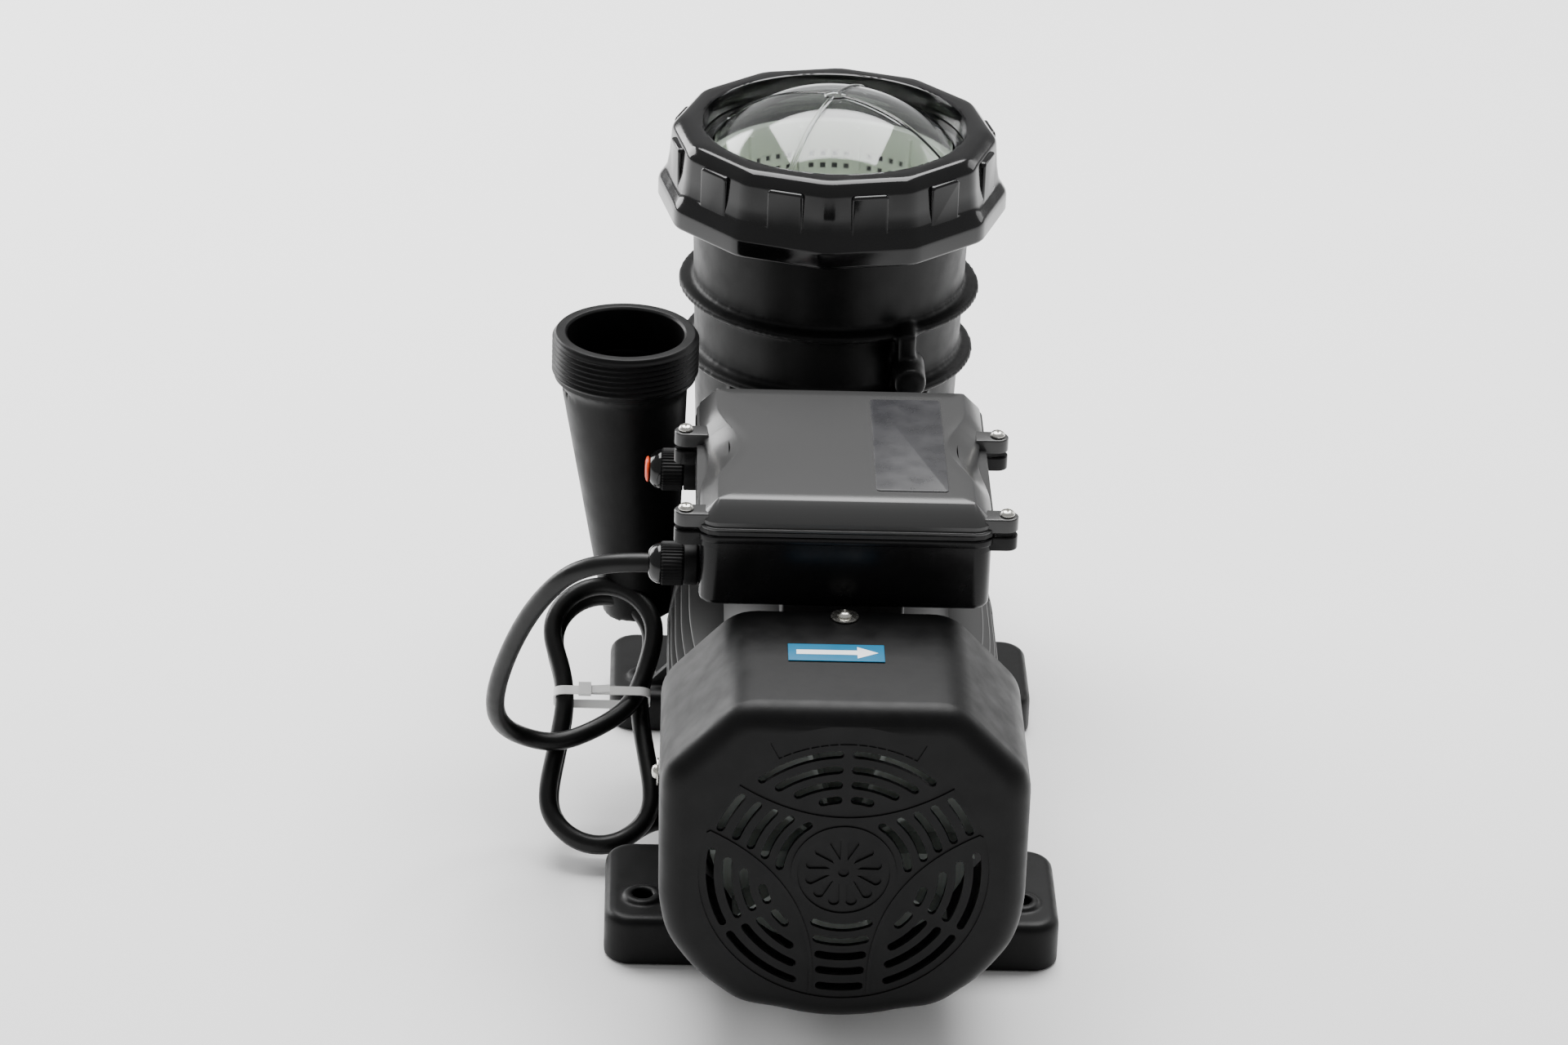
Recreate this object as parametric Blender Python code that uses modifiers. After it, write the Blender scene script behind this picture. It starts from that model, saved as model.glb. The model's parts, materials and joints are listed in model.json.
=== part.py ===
"""Self-priming pool pump with a strainer pot, a finned motor and a mains lead.

Metres, +Z up, origin on the floor under the middle of the pump. The motor shaft runs along Y:
the fan cover is at -Y and the strainer pot with its suction port is at +Y. Depths along the
shaft are counted from the fan cover's face.
"""

import math

import bmesh
import bpy
from mathutils import Matrix, Vector

GAP = 0.0003  # between pieces that touch

# Shaft and motor
AXIS_HEIGHT = 0.1055
SHAFT_RADIUS = 0.0085
BEARING_RADIUS = 0.0200
BEARING_WIDTH = 0.0120
HOUSING_START = 0.0800
HOUSING_LENGTH = 0.1680
HOUSING_BORE = 0.0630
FIN_ROOT_RADIUS = 0.0700
FIN_TIP_RADIUS = 0.0840
FIN_NOSE_RADIUS = 0.0760
FIN_TAPER = 0.0950
FIN_PITCH = 0.0080
FIN_THICKNESS = 0.0028
FINS_PER_SIDE = 11
BOX_PAD_HALF = 0.0300
FOOT_PAD_HALF = 0.0240
SHIELD_THICKNESS = 0.0100
SHIELD_BACK = 0.0030  # behind the bearing's seat
SHIELD_LIP = 0.0040  # reaches into the housing's bore
STATOR_LENGTH = 0.0950
STATOR_BORE = 0.0360
WINDING_LENGTH = 0.0200

# Fan and its cover
COVER_WIDTH = 0.1750
COVER_ABOVE = 0.0865  # flat top above the shaft
COVER_BELOW = 0.0837  # lowest point below the shaft
COVER_TOP_HALF = 0.0520
COVER_DEPTH = 0.1030
COVER_WALL = 0.0026
COVER_ROUND = 0.0120
COVER_SCREW_INSET = 0.0070
COVER_SCREW_RADIUS = 0.0020
COVER_SCREW_LENGTH = 0.0090
COVER_SCREW_HEAD = 0.0036
COVER_LUG_RADIUS = 0.0060
COVER_WASHER_RADIUS = 0.0068
COVER_WASHER_THICKNESS = 0.0009
SLOT_WIDTH = 0.0041
SLOT_PITCH = 0.00817
SLOT_OUTER_RADIUS = 0.0652
SLOT_BRIDGE = 0.0038
FAN_RADIUS = 0.0640
FAN_DEPTH = 0.0280
FAN_START = 0.0140
FAN_BLADES = 10
FAN_BLADE = 0.0022
FAN_PLATE = 0.0030
FAN_HUB = 0.0200

# Pump end
SEAL_PLATE_THICKNESS = 0.0080
SEAL_BORE = 0.0140
SEAL_STEP = 0.0030
SEAL_SEAT_WIDTH = 0.0050
SEAL_SEAT_LENGTH = 0.0045
SEAL_HEAD_LENGTH = 0.0080
VOLUTE_RADIUS = 0.0800
VOLUTE_LENGTH = 0.0520
VOLUTE_WALL = 0.0050
NECK_RADIUS = 0.0400
NECK_BORE = 0.0290
NECK_FLANGE = 0.0140  # how far the joint's flanges stand out of the neck
NECK_FLANGE_THICKNESS = 0.0080
BOLT_OUT = 0.0080  # from the neck's outside to the bolts
BOLT_RADIUS = 0.0030
BOLT_LENGTH = 0.0150
BOLT_HEAD = 0.0050
BOLT_HEAD_RADIUS = 0.0065
IMPELLER_RADIUS = 0.0560
IMPELLER_WIDTH = 0.0160
IMPELLER_VANES = 6
IMPELLER_START = 0.0090  # behind the volute's joint face
IMPELLER_PLATE = 0.0030

# Ports: both have a parallel pipe thread, G 2 1/2
PORT_RADIUS = 0.0376
PORT_BORE = 0.0299
PORT_THREAD_LENGTH = 0.0230
PORT_THREAD_DEPTH = 0.0013
PORT_THREADS = 7
DISCHARGE_X = -0.0755
DISCHARGE_OFFSET = 0.0283  # from the volute's joint face
DISCHARGE_HEIGHT = 0.2510
DISCHARGE_THROAT = 0.0190
SUCTION_HEIGHT = 0.1500
SUCTION_REACH = 0.1340  # from the pot's axis to the port's face

# Strainer pot and lid
POT_DISTANCE = 0.1460  # from the discharge port's axis to the pot's axis
NECK_TO_POT = 0.0160  # from the neck's joint to the pot's wall
POT_TOP_RADIUS = 0.0750
POT_FOOT_RADIUS = 0.0660
POT_HEIGHT = 0.2900
POT_BASE = 0.0290
POT_WALL = 0.0045
POT_RIB_HEIGHTS = (0.1820, 0.2180)
POT_RIB_STANDS = (0.0077, 0.0085)  # how far the ribs stand out of the wall
POT_RIB_HALF = 0.0030
LUG_X = 0.0410
LUG_HEIGHT = 0.2000
LUG_RADIUS = 0.0085
LUG_LENGTH = 0.0300
LUG_REACH = 0.0190  # in front of the pot's wall
LUG_WEB = 0.0100
DRAIN_HEIGHT = 0.0500
DRAIN_RADIUS = 0.0070
DRAIN_KNOB = 0.0120
DRAIN_BOSS_WALL = 0.0040
RING_SIDES = 12
RING_WALL = 0.0117  # from the pot's mouth to the ring's corners
RING_SKIRT_FLARE = 0.0068
RING_HEIGHT = 0.0450
RING_ABOVE_POT = 0.0190
RING_LIP = 0.0078  # how far the ring reaches in over the lid's flange
RING_PAD_HALF_WIDTH = 0.0090
RING_PAD_STANDS = 0.0028
RING_TURN = math.radians(86.4)
LID_OVERHANG = 0.0025  # past the pot's outer wall
LID_FLANGE = 0.0050
SEAL_THICKNESS = 0.0020
DOME_CLEARANCE = 0.0047  # between the dome and the ring's opening
DOME_RISE = 0.0280
DOME_WALL = 0.0030
BASKET_CLEARANCE = 0.0065  # between the basket and the pot's inner wall
BASKET_TAPER = 0.0100
BASKET_DEPTH = 0.1500
BASKET_WALL = 0.0025
BASKET_RIM = 0.0030  # how far its rim stands out over the pot's ledge
BASKET_BELOW_POT = 0.0040
BASKET_WINDOWS = 12

# Feet
FOOT_HALF_WIDTH = 0.1131
FOOT_THICKNESS = 0.0260
FRONT_FOOT_START = 0.0875
FRONT_FOOT_LENGTH = 0.0800
REAR_FOOT_GAP = 0.0120  # behind the volute's end
REAR_FOOT_LENGTH = 0.0740
REAR_FOOT_THICKNESS = 0.0220
FOOT_ROUND = 0.0140
FOOT_HOLE_RADIUS = 0.0050
FOOT_HOLE_INSET = 0.0190
FOOT_BOSS_HEIGHT = 0.0020
FOOT_BOSS_WALL = 0.0045
CRADLE_HALF = 0.0660
CRADLE_BELOW_SHAFT = 0.0500
SADDLE_HALF = 0.0360
FOOT_WEB_HALF = 0.0960
FOOT_WEB_THICKNESS = 0.0060

# Junction box
BOX_START = 0.1090
BOX_WIDTH = 0.1410
BOX_LENGTH = 0.1430
BOX_ABOVE_SHAFT = 0.0850  # from the shaft to the box's underside
BOX_BASE_HEIGHT = 0.0380
BOX_LID_HEIGHT = 0.0160
BOX_WALL = 0.0030
BOX_ROUND = 0.0090
BOX_PINCH = 0.0110
BOX_CHAMFER = 0.0090
GASKET_THICKNESS = 0.0020
BOX_SCREW_OUT = 0.0070  # the screws stand outside the box's sides
BOX_SCREW_DEPTHS = (0.1180, 0.2070)
BOX_SCREW_RADIUS = 0.0020
BOX_SCREW_LENGTH = 0.0130
BOX_BOSS_RADIUS = 0.0056
BOX_BOSS_BELOW = 0.0070  # below and above the seam
BOX_BOSS_ABOVE = 0.0095
BOX_FLANGE = 0.0022
BOX_FLANGE_HEIGHT = 0.0040
BOX_WIRE_HOLE = 0.0080

CAPACITOR_RADIUS = 0.0150
CAPACITOR_LENGTH = 0.0700
PLATE_HALF_WIDTH = 0.0175
PLATE_HALF_LENGTH = 0.0520
PLATE_THICKNESS = 0.0004

# Cable glands
GLAND_DEPTHS = (0.1260, 0.2310)
GLAND_ABOVE_FLOOR = 0.0140
GLAND_NUT_RADIUS = 0.0108
GLAND_NUT_LENGTH = 0.0110
GLAND_BODY_LENGTH = 0.0070
GLAND_CAP_LENGTH = 0.0060

# Mains lead
CORD_RADIUS = 0.00475
HANK_WIDTH = 0.0640
HANK_LENGTH = 0.1500
HANK_THICKNESS = 0.0200
HANK_FOOT = (-0.1168, 0.1810)  # across, and depth from the fan cover's face
HANK_LEAN = math.radians(45)
TIE_WIDTH = 0.0040
TIE_THICKNESS = 0.0012
TIE_SHARE = 0.57  # how far up the hank the tie sits
PLUG_X = -0.0660
PLUG_RADIUS = 0.0185
PLUG_LENGTH = 0.0360
PLUG_RELIEF_START = 0.2230
PLUG_RELIEF_LENGTH = 0.0267
PIN_RADIUS = 0.0024
PIN_LENGTH = 0.0190
PIN_SPACING = 0.0190
FLOOR_CLEARANCE = 0.0005

# Worked out from the sizes above
HOUSING_END = HOUSING_START + HOUSING_LENGTH
SEAL_PLATE_START = HOUSING_END + GAP + SHIELD_THICKNESS + GAP
VOLUTE_START = SEAL_PLATE_START + SEAL_PLATE_THICKNESS + GAP
DISCHARGE_DEPTH = VOLUTE_START + DISCHARGE_OFFSET
VOLUTE_END = VOLUTE_START + VOLUTE_LENGTH
POT_DEPTH = DISCHARGE_DEPTH + POT_DISTANCE
OVERALL_LENGTH = POT_DEPTH + SUCTION_REACH
FAN_FACE_Y = -OVERALL_LENGTH / 2
POT_Y = FAN_FACE_Y + POT_DEPTH
NECK_END = POT_DEPTH - POT_TOP_RADIUS - NECK_TO_POT
NECK_FLANGE_RADIUS = NECK_RADIUS + NECK_FLANGE
RING_TOP = POT_HEIGHT + RING_ABOVE_POT
RING_RADIUS = POT_TOP_RADIUS + RING_WALL
RING_SKIRT_RADIUS = RING_RADIUS + RING_SKIRT_FLARE
LID_RADIUS = POT_TOP_RADIUS + LID_OVERHANG
RING_OPENING = LID_RADIUS - RING_LIP
DOME_RADIUS = RING_OPENING - DOME_CLEARANCE
BASKET_RADIUS = POT_TOP_RADIUS - POT_WALL - BASKET_CLEARANCE
BOX_FLOOR = AXIS_HEIGHT + BOX_ABOVE_SHAFT
BOX_SEAM = BOX_FLOOR + BOX_BASE_HEIGHT
BOX_TOP = BOX_SEAM + BOX_LID_HEIGHT
BOX_BOSS_BOTTOM = BOX_SEAM - BOX_BOSS_BELOW
BOX_BOSS_TOP = BOX_SEAM + BOX_BOSS_ABOVE
BOX_SCREW_X = BOX_WIDTH / 2 + BOX_SCREW_OUT
GLAND_HEIGHT = BOX_FLOOR + GLAND_ABOVE_FLOOR
LID_SEAT = POT_HEIGHT + GAP + SEAL_THICKNESS + GAP

PARTS = "pool_pump"
CUTTERS = "pool_pump_cutters"


# ---------------------------------------------------------------- scene and materials

def clear_scene():
    for obj in list(bpy.data.objects):
        bpy.data.objects.remove(obj, do_unlink=True)
    for name in (PARTS, CUTTERS):
        collection = bpy.data.collections.new(name)
        bpy.context.scene.collection.children.link(collection)


def material(name, colour, roughness, metallic=0.0, transmission=0.0):
    made = bpy.data.materials.get(name)
    if made:
        return made
    made = bpy.data.materials.new(name)
    made.use_nodes = True
    shader = made.node_tree.nodes["Principled BSDF"]
    shader.inputs["Base Color"].default_value = (*colour, 1.0)
    shader.inputs["Roughness"].default_value = roughness
    shader.inputs["Metallic"].default_value = metallic
    shader.inputs["Transmission Weight"].default_value = transmission
    made.diffuse_color = (*colour, 1.0)
    return made


def matte_black(name):
    return material(name, (0.020, 0.020, 0.022), 0.55)


def gloss_black(name):
    return material(name, (0.012, 0.012, 0.013), 0.18)


def steel(name):
    return material(name, (0.62, 0.61, 0.58), 0.28, metallic=1.0)


def rubber(name):
    return material(name, (0.015, 0.015, 0.015), 0.75)


# ---------------------------------------------------------------- shape helpers

def at(x, depth, z):
    """A place given by its distance from the middle, from the fan cover's face and from the floor."""
    return Vector((x, FAN_FACE_Y + depth, z))


def add_object(name, mesh, look=None, tool=False):
    obj = bpy.data.objects.new(name, mesh)
    bpy.data.collections[CUTTERS if tool else PARTS].objects.link(obj)
    if tool:
        obj.hide_render = True
        obj.display_type = "WIRE"
    if look:
        mesh.materials.clear()
        mesh.materials.append(look)
    return obj


def smooth(obj, degrees=35):
    obj.data.shade_smooth()
    obj.data.set_sharp_from_angle(angle=math.radians(degrees))


def evaluated_mesh(obj, weld=0.0):
    graph = bpy.context.evaluated_depsgraph_get()
    mesh = bpy.data.meshes.new_from_object(obj.evaluated_get(graph))
    if weld:
        shape = bmesh.new()
        shape.from_mesh(mesh)
        bmesh.ops.remove_doubles(shape, verts=shape.verts, dist=weld)
        shape.to_mesh(mesh)
        shape.free()
    return mesh


def bake(obj):
    """Keeps what the object's modifiers make as its own mesh."""
    mesh = evaluated_mesh(obj)
    obj.modifiers.clear()
    obj.data = mesh
    return obj


def turn_to(axis):
    """The rotation that lays a shape made along +Z onto another axis."""
    return {
        "Z": (0.0, 0.0, 0.0),
        "-Z": (math.pi, 0.0, 0.0),
        "Y": (-math.pi / 2, 0.0, 0.0),
        "-Y": (math.pi / 2, 0.0, 0.0),
        "X": (0.0, math.pi / 2, 0.0),
        "-X": (0.0, -math.pi / 2, 0.0),
    }[axis]


def turned(name, profile, look=None, place=(0, 0, 0), axis="Z", steps=40, ring=False, tool=False):
    """A turned shape. The profile is (radius, height) down the outer side, top to bottom.

    With ring it is a closed outline; without it both of its ends lie on the axis.
    """
    shape = bmesh.new()
    verts = [shape.verts.new((radius, 0, height)) for radius, height in profile]
    for first, second in zip(verts, verts[1:] + verts[:1] if ring else verts[1:]):
        shape.edges.new((first, second))
    mesh = bpy.data.meshes.new(name)
    shape.to_mesh(mesh)
    shape.free()
    obj = add_object(name, mesh, look, tool)
    screw = obj.modifiers.new("turn", "SCREW")
    screw.axis = "Z"
    screw.steps = steps
    screw.render_steps = steps
    screw.use_merge_vertices = True
    screw.merge_threshold = 0.00001
    screw.use_smooth_shade = False
    bake(obj)
    if look:
        obj.data.materials.clear()
        obj.data.materials.append(look)
    obj.location = place
    obj.rotation_euler = turn_to(axis)
    smooth(obj)
    return obj


def rod(name, radius, length, look=None, place=(0, 0, 0), axis="Z", steps=24, tool=False):
    profile = [(0, length), (radius, length), (radius, 0), (0, 0)]
    return turned(name, profile, look, place, axis, steps, tool=tool)


def tube(name, outer, inner, length, look=None, place=(0, 0, 0), axis="Z", steps=40, tool=False):
    profile = [(outer, length), (outer, 0), (inner, 0), (inner, length)]
    return turned(name, profile, look, place, axis, steps, ring=True, tool=tool)


def cone_between(name, start, end, start_radius, end_radius, steps=28, tool=True):
    span = Vector(end) - Vector(start)
    profile = [(0, span.length), (end_radius, span.length), (start_radius, 0), (0, 0)]
    obj = turned(name, profile, place=start, steps=steps, tool=tool)
    obj.rotation_euler = span.to_track_quat("Z", "Y").to_euler()
    return obj


def block(name, low, high, look=None, round_edges=0.0, segments=2, tool=False):
    """A box between two corners, with its edges rounded if asked."""
    low = Vector(low)
    high = Vector(high)
    mesh = bpy.data.meshes.new(name)
    shape = bmesh.new()
    bmesh.ops.create_cube(shape, size=1.0)
    bmesh.ops.scale(shape, vec=high - low, verts=shape.verts)
    if round_edges:
        bmesh.ops.bevel(shape, geom=list(shape.edges), offset=round_edges, segments=segments,
                        affect="EDGES", profile=0.5)
    shape.to_mesh(mesh)
    shape.free()
    obj = add_object(name, mesh, look, tool)
    obj.location = (low + high) / 2
    if round_edges:
        smooth(obj)
    return obj


def flat_solid(name, outlines, thickness, look=None, place=(0, 0, 0), axis="Z", tool=False):
    """A plate with the given outlines; an outline inside another is a hole."""
    curve = bpy.data.curves.new(name, "CURVE")
    curve.dimensions = "2D"
    curve.fill_mode = "BOTH"
    curve.extrude = thickness / 2
    for outline in outlines:
        spline = curve.splines.new("POLY")
        spline.points.add(len(outline) - 1)
        for point, (x, y) in zip(spline.points, outline):
            point.co = (x, y, 0, 1)
        spline.use_cyclic_u = True
    guide = bpy.data.objects.new(name + "_outline", curve)
    bpy.data.collections[CUTTERS].objects.link(guide)
    mesh = evaluated_mesh(guide, weld=0.00001)
    bpy.data.objects.remove(guide)
    obj = add_object(name, mesh, look, tool)
    obj.location = place
    obj.rotation_euler = turn_to(axis)
    return obj


def wall_plate(name, outlines, thickness, start, look=None, tool=False):
    """A plate whose outline is seen from the fan end: (across, above the shaft)."""
    obj = flat_solid(name, outlines, thickness, look, tool=tool)
    obj.rotation_euler = (math.pi / 2, 0, 0)
    obj.location = at(0, start + thickness / 2, AXIS_HEIGHT)
    return obj


def make_triangles(mesh):
    """Splits every face into flat triangles and removes slivers, so that the next Boolean is exact."""
    shape = bmesh.new()
    shape.from_mesh(mesh)
    bmesh.ops.remove_doubles(shape, verts=shape.verts, dist=0.000002)
    bmesh.ops.dissolve_degenerate(shape, edges=shape.edges, dist=0.000002)
    bmesh.ops.dissolve_limit(shape, angle_limit=0.0005, verts=shape.verts, edges=shape.edges)
    bmesh.ops.triangulate(shape, faces=shape.faces)
    shape.to_mesh(mesh)
    shape.free()


def combine(obj, operation, *tools):
    """Cuts or joins all the tools in one Boolean, so that no step rounds off the one before."""
    look = obj.data.materials[0] if obj.data.materials else None
    group = bpy.data.collections.new(f"{obj.name}_{operation.lower()}")
    for tool in tools:
        group.objects.link(tool)
    boolean = obj.modifiers.new(operation.lower(), "BOOLEAN")
    boolean.operation = operation
    boolean.solver = "EXACT"
    boolean.operand_type = "COLLECTION"
    boolean.collection = group
    bpy.context.view_layer.update()
    bake(obj)
    bpy.data.collections.remove(group)
    make_triangles(obj.data)
    if look:
        obj.data.materials.clear()
        obj.data.materials.append(look)
    smooth(obj)
    return obj


def cut(obj, *tools):
    return combine(obj, "DIFFERENCE", *tools)


def join(obj, *tools):
    return combine(obj, "UNION", *tools)


def arc(radius, start, end, count):
    """Points on an arc, with angles in degrees."""
    angles = [math.radians(start + (end - start) * i / count) for i in range(count + 1)]
    return [(radius * math.cos(a), radius * math.sin(a)) for a in angles]


def round_rectangle(half_width, half_length, radius, count=4):
    outline = []
    for x, y, start in ((1, 1, 0), (-1, 1, 90), (-1, -1, 180), (1, -1, 270)):
        centre = (x * (half_width - radius), y * (half_length - radius))
        for dx, dy in arc(radius, start, start + 90, count):
            outline.append((centre[0] + dx, centre[1] + dy))
    return outline


# ---------------------------------------------------------------- fan cover

def cover_outline(grow=0.0):
    """The cover seen from the fan end, going round from the top right corner."""
    side = COVER_WIDTH / 2 + grow
    top = COVER_ABOVE + grow
    low = COVER_BELOW + grow
    right = [
        (COVER_TOP_HALF + grow * 0.4, top),
        (side, top * 0.57),
        (side, -low * 0.48),
        (side * 0.79, -low * 0.73),
        (side * 0.55, -low * 0.91),
        (side * 0.28, -low * 0.985),
    ]
    left = [(-x, z) for x, z in reversed(right)]
    return right + [(0, -low)] + left


def cover_shell():
    """An open-backed shell with a rounded front edge."""
    shape = bmesh.new()
    verts = [shape.verts.new((x, 0, z)) for x, z in cover_outline()]
    face = shape.faces.new(verts)
    rim = list(face.edges)
    back = bmesh.ops.extrude_edge_only(shape, edges=rim)
    moved = [item for item in back["geom"] if isinstance(item, bmesh.types.BMVert)]
    bmesh.ops.translate(shape, verts=moved, vec=(0, COVER_DEPTH, 0))
    bmesh.ops.recalc_face_normals(shape, faces=shape.faces)
    bmesh.ops.bevel(shape, geom=rim, offset=COVER_ROUND, segments=3, affect="EDGES", profile=0.5)
    mesh = bpy.data.meshes.new("fan_cover")
    shape.to_mesh(mesh)
    shape.free()
    obj = add_object("fan_cover", mesh, matte_black("cover_plastic"))
    obj.location = at(0, 0, AXIS_HEIGHT)
    solidify = obj.modifiers.new("wall", "SOLIDIFY")
    solidify.thickness = COVER_WALL
    solidify.offset = -1
    bake(obj)
    obj.data.materials.clear()
    obj.data.materials.append(matte_black("cover_plastic"))
    return obj


def arc_slot(outer, start, end):
    count = max(2, round((end - start) / 15))
    return arc(outer, start, end, count) + arc(outer - SLOT_WIDTH, end, start, count)


def grille_slots():
    """Five rings of slots: three fans between three lens-shaped groups with a bridge each."""
    slots = []
    fan_half = (11.0, 15.0, 20.0, 25.0, 30.0)
    lens_half = (41.0, 37.0, 31.0, 19.0)
    for ring, half in enumerate(fan_half):
        outer = SLOT_OUTER_RADIUS - ring * SLOT_PITCH
        for centre in (30, 150, 270):
            slots.append(arc_slot(outer, centre - half, centre + half))
    for ring, half in enumerate(lens_half):
        outer = SLOT_OUTER_RADIUS - ring * SLOT_PITCH
        bridge = math.degrees(math.asin(SLOT_BRIDGE / 2 / outer))
        for centre in (90, 210, 330):
            inner = 21.0 if centre == 90 and ring == 0 else bridge
            slots.append(arc_slot(outer, centre + inner, centre + half))
            slots.append(arc_slot(outer, centre - half, centre - inner))
    return slots


def screw_places():
    """The cover's four screws: the place on its wall and the way they point out."""
    depth = COVER_DEPTH - COVER_SCREW_INSET
    side = COVER_WIDTH / 2
    return {
        "top": (at(0, depth, AXIS_HEIGHT + COVER_ABOVE), "Z"),
        "left": (at(-side, depth, AXIS_HEIGHT), "-X"),
        "right": (at(side, depth, AXIS_HEIGHT), "X"),
        "bottom": (at(0, depth, AXIS_HEIGHT - COVER_BELOW), "-Z"),
    }


def make_cover_screws():
    """Pan-head screws, each with its flat washer pressed on."""
    for name, (place, axis) in screw_places().items():
        # The lowest screw is countersunk: its head would otherwise reach the front foot.
        head = 0.0002 if name == "bottom" else 0.0026
        profile = [
            (0, GAP + COVER_WASHER_THICKNESS + head),
            (COVER_SCREW_HEAD * 0.7, GAP + COVER_WASHER_THICKNESS + head * 0.85),
            (COVER_SCREW_HEAD, GAP + COVER_WASHER_THICKNESS + head * 0.35),
            (COVER_SCREW_HEAD, GAP + COVER_WASHER_THICKNESS),
            (COVER_WASHER_RADIUS, GAP + COVER_WASHER_THICKNESS),
            (COVER_WASHER_RADIUS, GAP),
            (COVER_SCREW_RADIUS, GAP),
            (COVER_SCREW_RADIUS, -COVER_SCREW_LENGTH),
            (0, -COVER_SCREW_LENGTH),
        ]
        turned(f"fan_cover_screw_{name}", profile, steel("screw_steel"), place, axis, steps=10)


def make_fan_cover():
    cover = cover_shell()
    plate = wall_plate("slot_tool", grille_slots(), COVER_WALL * 6, -COVER_WALL * 2, tool=True)
    holes = []
    for name, (place, axis) in screw_places().items():
        hole = rod(f"cover_hole_{name}", COVER_SCREW_RADIUS + GAP, 0.020, place=place, axis=axis,
                   steps=12, tool=True)
        outward = hole.rotation_euler.to_matrix() @ Vector((0, 0, 1))
        hole.location = Vector(place) - outward * 0.010
        holes.append(hole)
    cut(cover, plate, *holes)


def make_fan():
    """A plastic radial fan: a hub and a back plate with flat blades."""
    look = material("fan_plastic", (0.46, 0.50, 0.47), 0.45)
    hub = FAN_HUB
    bore = SHAFT_RADIUS + GAP
    plate_start = FAN_DEPTH - FAN_PLATE
    profile = [
        (FAN_RADIUS, FAN_DEPTH), (FAN_RADIUS, plate_start), (hub, plate_start), (hub, 0), (bore, 0),
        (bore, FAN_DEPTH),
    ]
    fan = turned("cooling_fan", profile, look, at(0, FAN_START, AXIS_HEIGHT), "Y", 30, ring=True)
    blades = []
    for index in range(FAN_BLADES):
        blade = block(f"blade_{index}", (hub - 0.002, -FAN_BLADE / 2, 0.004),
                      (FAN_RADIUS - 0.001, FAN_BLADE / 2, plate_start + 0.001), tool=True)
        turn = Matrix.Rotation(math.tau * index / FAN_BLADES, 4, "Z")
        blade.data.transform(turn @ Matrix.Translation(blade.location))
        blade.location = at(0, FAN_START, AXIS_HEIGHT)
        blade.rotation_euler = turn_to("Y")
        blades.append(blade)
    join(fan, *blades)


# ---------------------------------------------------------------- motor

def fin_radius(depth):
    """The fins' outer radius, which curves in towards the fan cover."""
    share = min(1.0, max(0.0, (depth - COVER_DEPTH) / FIN_TAPER))
    return FIN_NOSE_RADIUS + (FIN_TIP_RADIUS - FIN_NOSE_RADIUS) * math.sin(share * math.pi / 2)


def housing_blank():
    """The turned casting before the gaps between its fins are cut."""
    profile = [(FIN_TIP_RADIUS, HOUSING_END)]
    for share in (1.0, 0.75, 0.5, 0.25, 0.0):
        depth = COVER_DEPTH + FIN_TAPER * share
        profile.append((fin_radius(depth), depth))
    profile += [
        (FIN_NOSE_RADIUS, HOUSING_START),
        (HOUSING_BORE, HOUSING_START),
        (HOUSING_BORE, HOUSING_END),
    ]
    local = [(radius, depth - HOUSING_START) for radius, depth in profile]
    place = at(0, HOUSING_START, AXIS_HEIGHT)
    look = material("motor_paint", (0.022, 0.022, 0.024), 0.42)
    return turned("motor_housing", local, look, place, "Y", 40, ring=True)


def fin_gaps():
    """The spaces between the side fins, down to the casting's round wall."""
    tools = []
    half = FINS_PER_SIDE // 2
    reach = FIN_TIP_RADIUS + 0.010
    wall = rod("fin_root", FIN_ROOT_RADIUS, HOUSING_LENGTH + 0.04,
               place=at(0, HOUSING_START - 0.02, AXIS_HEIGHT), axis="Y", steps=40, tool=True)
    for side in (-1, 1):
        for index in range(-half, half):
            low = AXIS_HEIGHT + index * FIN_PITCH + FIN_THICKNESS / 2
            high = low + FIN_PITCH - FIN_THICKNESS
            ends = sorted((side * 0.020, side * reach))
            gap = block(f"fin_gap_{side}_{index}", at(ends[0], HOUSING_START - 0.01, low),
                        at(ends[1], HOUSING_END - 0.006, high), tool=True)
            cut(gap, wall)
            tools.append(gap)
    return tools


def make_motor_housing():
    housing = housing_blank()
    cut(housing, *fin_gaps())
    lugs = []
    holes = []
    # Lugs under the fan cover take its screws, and a flat pad carries the junction box.
    for name, (place, axis) in screw_places().items():
        lug = rod(f"lug_{name}", COVER_LUG_RADIUS, 0.0200, place=place, axis=axis, steps=16, tool=True)
        outward = lug.rotation_euler.to_matrix() @ Vector((0, 0, 1))
        wall = Vector(place) - outward * (COVER_WALL + GAP)
        inner = at(0, COVER_DEPTH - COVER_SCREW_INSET, AXIS_HEIGHT) + outward * (HOUSING_BORE + 0.004)
        lug.location = inner
        length = (wall - inner).length
        lug.data.transform(Matrix.Diagonal((1, 1, length / 0.0200, 1)))
        lugs.append(lug)
        hole = rod(f"lug_hole_{name}", COVER_SCREW_RADIUS + GAP, 0.012, place=place, axis=axis,
                   steps=12, tool=True)
        hole.location = Vector(place) - outward * (COVER_SCREW_LENGTH + GAP * 2)
        holes.append(hole)
    pad_end = HOUSING_END - 0.012
    pad = block("box_pad", at(-BOX_PAD_HALF, BOX_START + 0.012, AXIS_HEIGHT + HOUSING_BORE + 0.003),
                at(BOX_PAD_HALF, pad_end, BOX_FLOOR - GAP), tool=True)
    bottom = block("foot_pad", at(-FOOT_PAD_HALF, COVER_DEPTH + 0.002, AXIS_HEIGHT - FIN_TIP_RADIUS + 0.004),
                   at(FOOT_PAD_HALF, pad_end, AXIS_HEIGHT - HOUSING_BORE - 0.003), tool=True)
    join(housing, pad, bottom, *lugs)
    cut(housing, *holes)


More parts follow.
